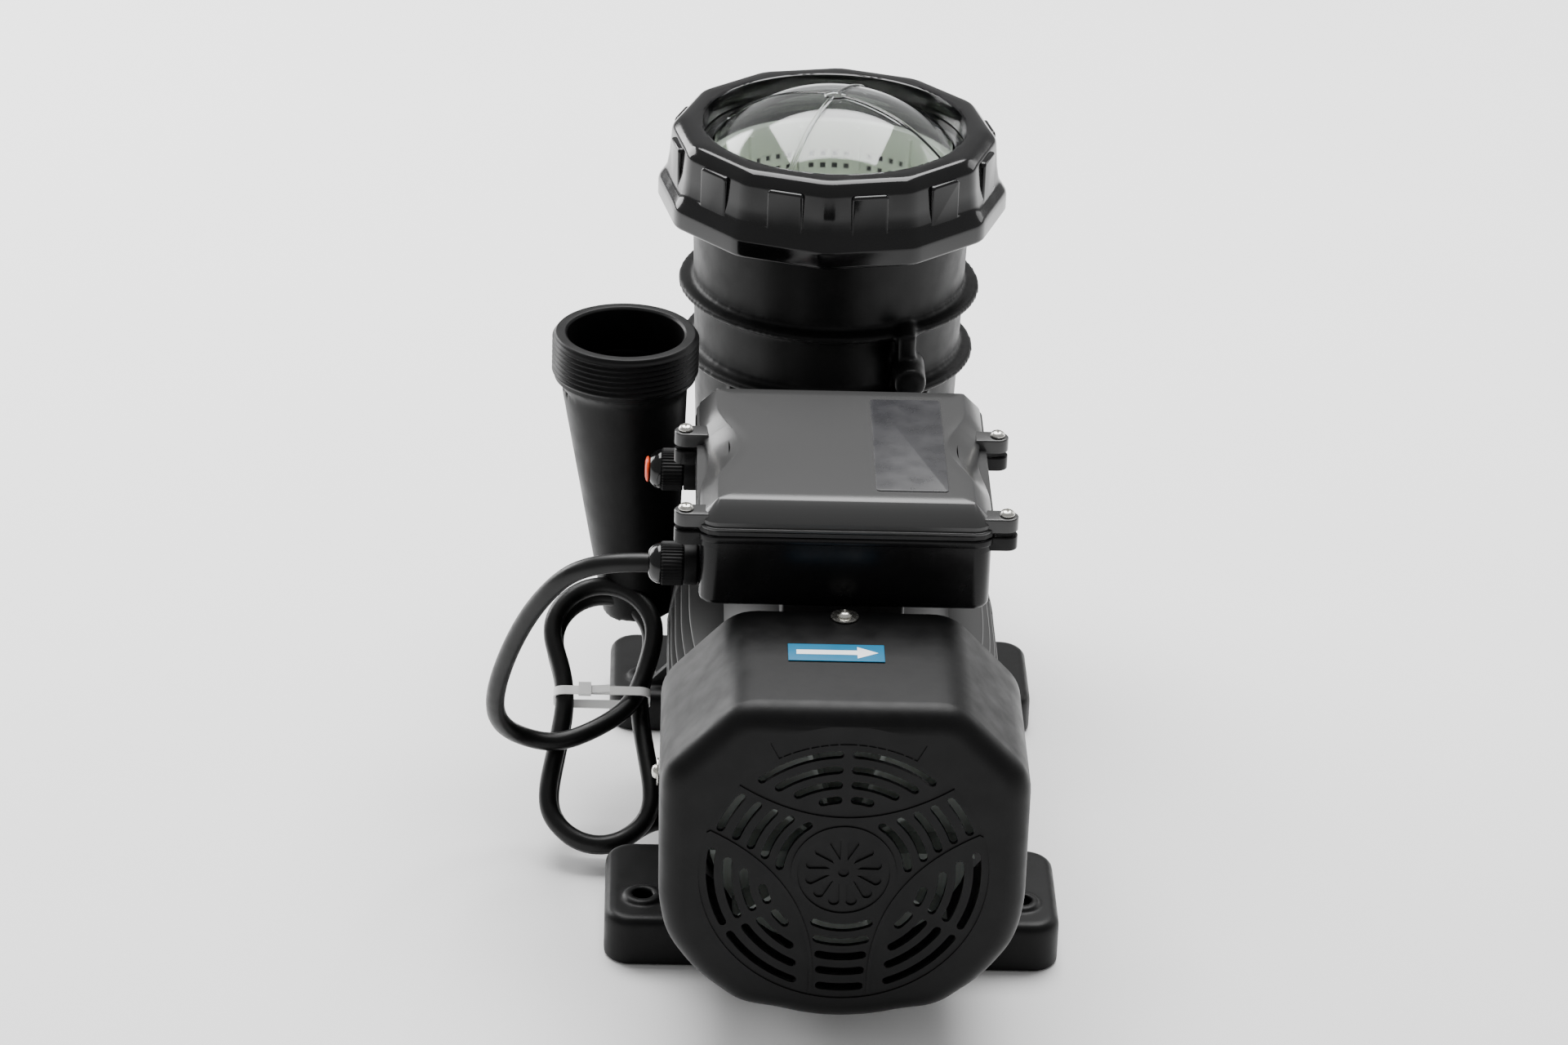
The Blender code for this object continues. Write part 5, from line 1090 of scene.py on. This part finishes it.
def foot_plate(name, node, thickness, length):
    """A plate with round corners and a soft upper edge, with bosses and holes for two bolts."""
    low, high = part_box(node)
    outline = round_rectangle(high.x, length / 2, 0.0140, 10)
    middle = (0, low.y + length / 2, 0)
    plate = slab(outline, low.z, thickness, 0.0050, middle, foot=0.0012)
    foot = piece(name, plate, satin_black(), replaces=(node,))
    x = high.x - HOLE_INSET
    places = [Vector((side * x, low.y + length * 0.30, thickness)) for side in (-1, 1)]
    raised = [(0, 0.0020), (BOSS_RADIUS - 0.0008, 0.0020), (BOSS_RADIUS + 0.0006, -0.004), (0, -0.004)]
    bosses = [turned(raised, place, "Z", 48, 0.0006) for place in places]
    holes = [turned([(0, 0.010), (HOLE_RADIUS, 0.010), (HOLE_RADIUS, -thickness - 0.01),
                     (0, -thickness - 0.01)], place, "Z", 48, 0) for place in places]
    return foot, bosses, holes


def motor_foot():
    """The front foot with its cradle under the casting and the cover."""
    length = 0.0800
    foot, bosses, holes = foot_plate("front_foot", "motor_foot", 0.0260, length)
    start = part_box("motor_foot")[0].y - FACE_Y
    cradle = block(at(-0.066, COVER_DEPTH + 0.004, 0.010),
                   at(0.066, start + length - 0.006, AXIS_Z - 0.050), 0.004)
    combine(foot, "UNION", bosses + [cradle])
    outline = inset(cover_outline(), -0.0018)
    clear = [face_on(outline, COVER_DEPTH - 0.029, 0.030),
             rod(FIN_TIP + SMALL, 0.120, at(0, start, AXIS_Z), "Y", 120)]
    combine(foot, "DIFFERENCE", clear + holes)
    flow(foot, FOOT_VOXEL, 2)


def pump_foot():
    """The rear foot with its saddle under the neck and a sloping web at each side."""
    length = 0.0740
    foot, bosses, holes = foot_plate("rear_foot", "pump_foot", 0.0220, length)
    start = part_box("pump_foot")[0].y
    middle = start + 0.012
    saddle = block((-0.036, middle - 0.006, 0.010), (0.036, middle + 0.010, AXIS_Z), 0.002)
    web = bmesh.new()
    outline = [(0.096, 0.020), (0.034, AXIS_Z - 0.022), (-0.034, AXIS_Z - 0.022), (-0.096, 0.020)]
    skin([[Vector((x, y, z)) for x, z in outline] for y in (middle - 0.001, middle + 0.005)], shape=web)
    combine(foot, "UNION", bosses + [saddle, web])
    neck_end = VOLUTE_HIGH.y
    clear = [rod(NECK_RADIUS + SMALL, 0.20, (0, VOLUTE_LOW.y, AXIS_Z), "Y", 96),
             rod(FLANGE_RADIUS + 0.002, 0.030, (0, neck_end - 0.0097, AXIS_Z), "Y", 96)]
    combine(foot, "DIFFERENCE", clear + holes)
    flow(foot, FOOT_VOXEL, 2)


# ---------------------------------------------------------------- junction box

BOX_LOW, BOX_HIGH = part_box("junction_box_base")
LID_LOW, LID_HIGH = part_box("junction_box_lid")
BOX_HALF_X = 0.0705
BOX_HALF_Y = 0.0715
BOX_MIDDLE_Y = at(0, 0.1805, 0).y
BOX_CORNER = 0.0090
BOX_PINCH = 0.0110
BOX_CHAMFER = 0.0090
SEAM = BOX_HIGH.z
SCREW_X = 0.0775
SCREW_DEPTHS = (0.1180, 0.2070)
BOSS_TOP = 0.2380
BOSS_BOTTOM = 0.2215
BOX_BOSS_RADIUS = 0.0056


def box_outline(grow=0.0, pinch=0.0):
    """The box from above; its long sides can curve in between the screws."""
    corner = max(0.0015, BOX_CORNER + grow)
    outline = round_rectangle(BOX_HALF_X + grow, BOX_HALF_Y + grow, corner, 8)
    if not pinch:
        return outline
    half = len(outline) // 2
    left = scallop(-1, BOX_HALF_X + grow, pinch)
    right = scallop(1, BOX_HALF_X + grow, pinch)
    return outline[:half] + left + outline[half:] + right


def scallop(side, half_x, pinch):
    reach = BOX_HALF_Y * 0.60
    points = []
    for index in range(25):
        share = index / 24
        y = reach * (1 - 2 * share) * (1 if side < 0 else -1)
        depth = pinch * 0.5 * (1 + math.cos(math.pi * (2 * share - 1)))
        points.append((side * (half_x - depth), y))
    return points


def boss(low, high, radius, x, y):
    """A screw boss that stands out from the box's side, rounded on its outer side."""
    outward = 1 if x > 0 else -1
    inner = outward * (BOX_HALF_X - 0.004) - x
    if outward < 0:
        outline = [(inner, -radius), (inner, radius)] + arc(radius, 90, 270, 12)
    else:
        outline = [(inner, radius), (inner, -radius)] + arc(radius, -90, 90, 12)
    return slab(outline, low, high, 0.0008, (x, y, 0))


def bosses(low, high):
    return [boss(low, high, BOX_BOSS_RADIUS, side * SCREW_X, at(0, depth, 0).y)
            for side in (-1, 1) for depth in SCREW_DEPTHS]


def box_base():
    """The box's lower part with its rim flange and its bosses, hollowed out."""
    place = (0, BOX_MIDDLE_Y, 0)
    body = slab(box_outline(), BOX_LOW.z, SEAM - 0.0005, 0, place, foot=0.0030)
    base = piece("box_base_shell", body, box_black(), replaces=("junction_box_base",))
    flange = slab(box_outline(0.0020), SEAM - 0.0036, SEAM, 0.0007, place, foot=0.0006)
    step = slab(box_outline(0.0009), SEAM - 0.0070, SEAM - 0.0030, 0.0003, place)
    combine(base, "UNION", [flange, step] + bosses(BOSS_BOTTOM, SEAM))
    inner = round_rectangle(BOX_HALF_X - 0.003, BOX_HALF_Y - 0.003, 0.006, 6)
    hollow = slab(inner, BOX_LOW.z + 0.003, SEAM + 0.01, 0, place)
    combine(base, "DIFFERENCE", [hollow])
    wear(base, 0.0004, 50)


def box_lid():
    """The lid: straight sides, a wide chamfer all round and a slightly crowned top."""
    place = (0, BOX_MIDDLE_Y, 0)
    low = LID_LOW.z
    high = LID_HIGH.z
    side = BOX_PINCH * 0.35
    levels = [(0.0006, low, side), (0.0, low + 0.0006, side), (0.0, high - BOX_CHAMFER - 0.0004, side),
              (0.0005, high - BOX_CHAMFER + 0.0004, side), (BOX_CHAMFER - 0.0009, high - 0.0006, BOX_PINCH),
              (BOX_CHAMFER + 0.0003, high - 0.0001, BOX_PINCH)]
    loops = []
    for shrink, height, pinch in levels:
        outline = box_outline(-shrink, pinch)
        loops.append([Vector((x, y + BOX_MIDDLE_Y, height)) for x, y in outline])
    edge = box_outline(-BOX_CHAMFER - 0.0003, BOX_PINCH)
    for share, height in ((0.9, high), (0.6, high + 0.0001), (0.3, high + 0.0002)):
        loops.append([Vector((x * share, y * share + BOX_MIDDLE_Y, height)) for x, y in edge])
    # The lid's lighter grey is painted reflection of the overhead lamp.
    lid = piece("box_lid_shell", skin(loops), lid_plastic_with_painted_reflection(),
                replaces=("junction_box_lid",), degrees=30)
    combine(lid, "UNION", bosses(low, BOSS_TOP), 30)
    rim = slab(box_outline(0.0014), low, low + 0.0016, 0.0005, place, foot=0.0004)
    inner = round_rectangle(BOX_HALF_X - BOX_PINCH - 0.003, BOX_HALF_Y - BOX_CHAMFER - 0.003, 0.006, 6)
    hollow = slab(inner, low - 0.01, high - 0.003, 0, place)
    combine(lid, "UNION", [rim], 30)
    combine(lid, "DIFFERENCE", [hollow], 30)
    wear(lid, 0.0004, 50)


def rating_plate():
    """A plain dark foil without lettering."""
    low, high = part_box("rating_plate")
    foil = slab(round_rectangle((high.x - low.x) / 2, (high.y - low.y) / 2, 0.0020, 6), LID_HIGH.z - 0.0010,
                LID_HIGH.z + 0.0005, 0.0003, ((low.x + high.x) / 2, (low.y + high.y) / 2, 0))
    piece("rating_foil", foil, dark_foil(), replaces=("rating_plate",))


def box_screws():
    for side, name in ((-1, "left"), (1, "right")):
        for index, depth in enumerate(SCREW_DEPTHS):
            place = at(side * SCREW_X, depth, BOSS_TOP + SMALL)
            node = f"box_screw_{name}_{index + 1}"
            cross_screw(f"lid_screw_{name}_{index + 1}", place, "Z", 0.0037, 0.0027,
                        replaces=(node,))


# ---------------------------------------------------------------- glands

NUT_RADIUS = 0.0108
TEETH = 40


def knurl(place, axis, radius, start, length):
    """A nut with fine teeth and soft ends."""
    turn = AXES[axis]
    loops = []
    for level, scale in ((0, 0.955), (0.0008, 1.0), (length - 0.0008, 1.0), (length, 0.955)):
        loop = []
        for index in range(TEETH * 4):
            angle = math.tau * index / (TEETH * 4)
            tooth = (0.0, 0.00025, 0.00050, 0.00025)[index % 4]
            reach = (radius - 0.0005 + tooth) * scale
            local = Vector((reach * math.cos(angle), reach * math.sin(angle), start + level))
            loop.append(place + turn @ local)
        loops.append(loop)
    return skin(loops)


def gland(prefix, node_prefix, opening):
    """A cable gland: its body at the box's wall, the knurled nut and the glossy cap."""
    low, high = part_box(f"{node_prefix}_nut")
    wall = -BOX_HALF_X - SMALL
    place = Vector((wall, (low.y + high.y) / 2, (low.z + high.z) / 2))
    body = [(opening, 0.011), (NUT_RADIUS - 0.0028, 0.011), (NUT_RADIUS - 0.0028, 0.0070),
            (NUT_RADIUS - 0.0004, 0.0070), (NUT_RADIUS - 0.0004, 0.0006), (NUT_RADIUS - 0.0020, 0),
            (NUT_RADIUS - 0.0034, -0.006), (opening, -0.006)]
    piece(f"{prefix}_body_shell", turned(body, place, "-X", 64, 0.0006, ring=True), matt_black(),
          replaces=(f"{node_prefix}_body",))
    nut = piece(f"{prefix}_knurl", knurl(place, "-X", NUT_RADIUS, 0.0073, 0.0108), matt_black(),
                replaces=(f"{node_prefix}_nut",), degrees=25)
    combine(nut, "DIFFERENCE", [rod(NUT_RADIUS - 0.0026, 0.03, place + Vector((0.004, 0, 0)), "-X", 48)], 25)
    start = 0.0181
    dome = [(opening, start), (NUT_RADIUS - 0.0006, start), (NUT_RADIUS - 0.0008, start + 0.0016),
            (NUT_RADIUS - 0.0022, start + 0.0042), (NUT_RADIUS - 0.0042, start + 0.0059),
            (opening, start + 0.0062)]
    cap = turned(dome, place, "-X", 64, 0.0012, ring=True)
    piece(f"{prefix}_cap", cap, gloss_black())


def glands():
    gland("cord_gland_outer", "cord_gland", LEAD_RADIUS + 0.0001)
    gland("spare_gland_outer", "spare_gland", 0.0050)
    low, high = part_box("blanking_plug")
    place = Vector((high.x, (low.y + high.y) / 2, (low.z + high.z) / 2))
    length = high.x - low.x
    profile = [(0, length), (0.0040, length - 0.0001), (0.0062, length - 0.0008), (0.0066, length - 0.0018),
               (0.0049, length - 0.0022), (0.0049, 0), (0, 0)]
    piece("blanking_disc", turned(profile, place, "-X", 64, 0.0005), signal_red(),
          replaces=("blanking_plug",))


# ---------------------------------------------------------------- mains lead

LEAD_RADIUS = 0.00475
HANK_FOOT_X = -0.1168
HANK_FOOT_DEPTH = 0.1810
HANK_LEAN = math.radians(45)
HANK_LIFT = 0.0100 * math.sin(HANK_LEAN) + 0.0005
FOLD = 0.0272
WAIST = 0.0185
WAIST_UP = 0.0855
LOW_FOLD = 0.0320
HIGH_FOLD = 0.1180
LAYER = 0.0048


def on_hank(across, up, front):
    """A place on the folded lead: across it, up along it and out of its face."""
    origin = at(HANK_FOOT_X, HANK_FOOT_DEPTH, HANK_LIFT)
    along = Vector((0, math.sin(HANK_LEAN), math.cos(HANK_LEAN)))
    out = Vector((0, -math.cos(HANK_LEAN), math.sin(HANK_LEAN)))
    return origin + Vector((across, 0, 0)) + along * up + out * front


def fold(centre, front, start, end, front_end, size=FOLD):
    """Places round one fold, from one angle to another, changing layers on the way."""
    places = []
    for index in range(7):
        share = index / 6
        angle = math.radians(start + (end - start) * share)
        places.append(on_hank(size * math.cos(angle), centre + size * math.sin(angle),
                              front + (front_end - front) * share))
    return places


def lead_route():
    """From the gland in one loose loop, through the folds, and out to the plug on the floor."""
    gland_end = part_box("cord_gland_nut")[0].x
    gland_z = (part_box("cord_gland_nut")[0].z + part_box("cord_gland_nut")[1].z) / 2
    free = [
        at(gland_end + 0.0040, 0.1260, gland_z), at(gland_end - 0.0060, 0.1262, gland_z),
        at(-0.1130, 0.1280, 0.2030), at(-0.1320, 0.1330, 0.1950), at(-0.1490, 0.1450, 0.1710),
        at(-0.1615, 0.1600, 0.1400), at(-0.1695, 0.1760, 0.1070), at(-0.1700, 0.1880, 0.0860),
        at(-0.1650, 0.2000, 0.0715), at(-0.1570, 0.2085, 0.0625),
    ]
    across = [on_hank(-0.0235, 0.0560, 0.0145), on_hank(-0.0040, 0.0640, 0.0130),
              on_hank(0.0120, 0.0760, 0.0080)]
    places = free + across
    places.append(on_hank(WAIST, WAIST_UP + 0.002, LAYER))
    places += fold(HIGH_FOLD, LAYER, 0, 180, LAYER)
    places += [on_hank(-WAIST, WAIST_UP, LAYER)]
    places += fold(LOW_FOLD, LAYER, 180, 360, LAYER)
    places += [on_hank(WAIST + 0.0005, WAIST_UP, -LAYER)]
    places += fold(HIGH_FOLD - 0.0012, -LAYER, 0, 180, -LAYER, FOLD - 0.0010)
    places += [on_hank(-WAIST, WAIST_UP, -LAYER)]
    places += fold(LOW_FOLD + 0.0010, -LAYER, 180, 330, -LAYER, FOLD - 0.0010)
    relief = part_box("mains_plug")
    plug_x = (relief[0].x + relief[1].x) / 2
    plug_z = (relief[0].z + relief[1].z) / 2
    places += [at(plug_x - 0.0075, 0.2050, plug_z + 0.0003), at(plug_x, 0.2170, plug_z),
               Vector((plug_x, relief[0].y + 0.0060, plug_z))]
    return places


def smooth(places, spacing):
    """Points on one smooth curve through the places."""
    ends = [2 * places[0] - places[1]] + places + [2 * places[-1] - places[-2]]
    fine = []
    for before, first, second, after in zip(ends, ends[1:], ends[2:], ends[3:]):
        count = max(1, math.ceil((second - first).length / spacing))
        for index in range(count):
            t = index / count
            fine.append(0.5 * (2 * first + (second - before) * t
                               + (2 * before - 5 * first + 4 * second - after) * t * t
                               + (3 * first - before - 3 * second + after) * t ** 3))
    return fine + [places[-1]]


def relax(points, rounds, keep):
    """Evens out a line's bends while its ends stay."""
    for _ in range(rounds):
        moved = list(points)
        for index in range(keep, len(points) - keep):
            middle = (points[index - 1] + points[index + 1]) / 2
            moved[index] = points[index].lerp(middle, 0.5)
        points = moved
    return points


def mains_lead(around):
    points = relax(smooth(lead_route(), 0.0035), 12, 3)
    curve = bpy.data.curves.new("mains_lead", "CURVE")
    curve.dimensions = "3D"
    curve.bevel_depth = LEAD_RADIUS
    curve.bevel_resolution = 6
    curve.use_fill_caps = True
    spline = curve.splines.new("POLY")
    spline.points.add(len(points) - 1)
    for target, place in zip(spline.points, points):
        target.co = (*place, 1)
    spline.use_smooth = True
    curve.materials.append(sheath())
    lead = bpy.data.objects.new("mains_lead", curve)
    bpy.context.scene.collection.objects.link(lead)
    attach(lead, "root")
    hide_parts("power_cord", "cord_tail", "cord_hank")
    return lead


def lead_tie():
    """A flat white tie round the folds' waist, with its square head and a cut-off tail."""
    half_x = WAIST + LEAD_RADIUS + 0.0006
    half_y = LAYER + LEAD_RADIUS + 0.0022
    outer = round_rectangle(half_x + 0.0011, half_y + 0.0011, 0.0060, 8)
    inner = round_rectangle(half_x, half_y, 0.0050, 8)
    shape = bmesh.new()
    loops = []
    for outline, shift in ((outer, -0.0022), (outer, 0.0022), (inner, 0.0022), (inner, -0.0022)):
        loops.append([on_hank(x, WAIST_UP + shift, y) for x, y in outline])
    skin(loops, True, shape)
    head = [(-0.0120, half_y + 0.0006), (-0.0055, half_y + 0.0006), (-0.0055, half_y + 0.0046),
            (-0.0120, half_y + 0.0046)]
    skin([[on_hank(x, WAIST_UP + shift, y) for x, y in head] for shift in (-0.0032, 0.0032)], shape=shape)
    tail = [(-0.0055, half_y + 0.0018), (0.0040, half_y + 0.0040), (0.0040, half_y + 0.0052),
            (-0.0055, half_y + 0.0030)]
    skin([[on_hank(x, WAIST_UP + shift, y) for x, y in tail] for shift in (-0.0019, 0.0019)], shape=shape)
    return piece("lead_tie", shape, white_nylon(), replaces=("cable_tie",))


def plug():
    """A round earthed plug: ribbed strain relief, grip body, face and two pins."""
    low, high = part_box("mains_plug")
    radius = (high.x - low.x) / 2
    place = Vector(((low.x + high.x) / 2, low.y, (low.z + high.z) / 2))
    length = high.y - low.y
    relief = 0.0267
    profile = [(0, length - 0.0030), (radius - 0.0022, length - 0.0030), (radius - 0.0022, length - 0.0002),
               (radius - 0.0006, length), (radius, length - 0.0008), (radius, relief + 0.0120),
               (radius - 0.0022, relief + 0.0060), (radius - 0.0070, relief)]
    for index in range(5):
        end = relief - 0.0020 - index * 0.0048
        wide = 0.0078 - index * 0.0004
        profile += [(wide, end), (wide, end - 0.0028), (wide - 0.0014, end - 0.0032),
                    (wide - 0.0014, end - 0.0046)]
    profile += [(0.0056, 0), (0, 0)]
    body = piece("plug_body", turned(profile, place, "Y", 96, 0.0006), matt_black(),
                 replaces=("mains_plug",))
    pins = []
    for name in ("left", "right"):
        node = f"plug_pin_{name}"
        pin_low, pin_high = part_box(node)
        foot = Vector(((pin_low.x + pin_high.x) / 2, pin_low.y, (pin_low.z + pin_high.z) / 2))
        size = (pin_high.x - pin_low.x) / 2
        reach = pin_high.y - pin_low.y
        shape = turned([(0, reach), (size * 0.55, reach - 0.0001), (size, reach - 0.0016), (size, -0.0032),
                        (0, -0.0032)], foot, "Y", 40, 0.0006)
        pins.append(piece(f"pin_{name}", shape, nickel(), replaces=(node,)))
    return [body] + pins


# ---------------------------------------------------------------- pieces kept from the CAD model

KEPT = {
    "cooling_fan": ("fan_plastic", (0.42, 0.46, 0.43)),
    "impeller": ("impeller_plastic", (0.085, 0.085, 0.090)),
    "diffuser": ("diffuser_plastic", (0.130, 0.130, 0.140)),
    "run_capacitor": ("capacitor_case", (0.66, 0.66, 0.64)),
    "terminal_block": ("terminal_plastic", (0.62, 0.60, 0.52)),
}


def kept_pieces():
    """Materials and softened edges for the pieces that the CAD model shows as they are."""
    looks = {
        "seal_plate": satin_black(), "front_end_shield": motor_paint(), "rear_end_shield": motor_paint(),
        "stator_core": laminations(), "rotor_core": laminations(), "winding_front": copper(),
        "winding_rear": copper(), "front_bearing": turned_steel(), "rear_bearing": turned_steel(),
        "motor_shaft": turned_steel(), "shaft_seal_seat": ceramic(), "shaft_seal_head": rubber(),
        "drain_plug_seal": rubber(), "lid_seal": rubber(), "junction_box_gasket": rubber(),
        "pot_bolt_left": zinc(), "pot_bolt_right": zinc(),
    }
    for node, (name, colour) in KEPT.items():
        looks[node] = plain_plastic(name, colour)
    for node, look in looks.items():
        obj = frame["nodes"][node]
        obj.data.materials.clear()
        obj.data.materials.append(look)
        wear(obj, 0.0003, 40)


# ---------------------------------------------------------------- studio

SURROUND = 0.45
LAMPS = (  # name, place, width, height and watts
    ("overhead", (0.0, 1.1, 2.6), 2.6, 2.2, 190),
    ("left", (-1.7, 1.5, 0.9), 1.2, 1.2, 46),
    ("right", (1.7, 1.1, 0.9), 1.0, 1.0, 8),
)


def studio():
    """A plain white floor, a soft surround and three large lamps."""
    bpy.ops.mesh.primitive_plane_add(size=12, location=(0, 0, 0))
    floor = bpy.context.object
    floor.name = "studio_floor"
    floor.data.materials.append(material("studio_floor", (0.93, 0.93, 0.93), (0.95, 0.95, 0.95), 0.8,
                                         grain=400, depth=0.02, cloud=4))
    world = bpy.data.worlds.new("studio")
    world.use_nodes = True
    world.node_tree.nodes["Background"].inputs["Color"].default_value = (1, 1, 1, 1)
    world.node_tree.nodes["Background"].inputs["Strength"].default_value = SURROUND
    bpy.context.scene.world = world
    for name, place, wide, tall, power in LAMPS:
        lamp(name, place, wide, tall, power)


def lamp(name, place, wide, tall, power):
    light = bpy.data.lights.new(name, "AREA")
    light.shape = "RECTANGLE"
    light.size = wide
    light.size_y = tall
    light.energy = power
    obj = bpy.data.objects.new(name, light)
    obj.location = place
    obj.rotation_euler = (Vector((0, 0, 0.12)) - Vector(place)).to_track_quat("-Z", "Y").to_euler()
    bpy.context.scene.collection.objects.link(obj)


def camera():
    """A long lens, above and just left of the shaft, looking at the fan cover."""
    yaw = 0.0331
    pitch = 0.4586
    roll = 0.0350
    forward = Vector((math.sin(yaw) * math.cos(pitch), math.cos(yaw) * math.cos(pitch), -math.sin(pitch)))
    right = Vector((math.cos(yaw), -math.sin(yaw), 0))
    up = right.cross(forward)
    right_rolled = right * math.cos(roll) + up * math.sin(roll)
    up_rolled = up * math.cos(roll) - right * math.sin(roll)
    data = bpy.data.cameras.new("camera")
    data.lens = 123.75
    data.sensor_width = 36
    obj = bpy.data.objects.new("camera", data)
    axes = Matrix((right_rolled, up_rolled, -forward)).transposed()
    obj.matrix_world = Matrix.Translation((-0.10725, -2.4992, 1.3825)) @ axes.to_4x4()
    bpy.context.scene.collection.objects.link(obj)
    bpy.context.scene.camera = obj


# ---------------------------------------------------------------- the whole

fan_cover()
cover_screws()
direction_label()
motor_housing()
volute()
strainer_pot()
drain_plug()
lock_ring()
clear_lid()
basket()
motor_foot()
pump_foot()
box_base()
box_lid()
rating_plate()
box_screws()
glands()
mains_lead([lead_tie()] + plug())
kept_pieces()
studio()
camera()
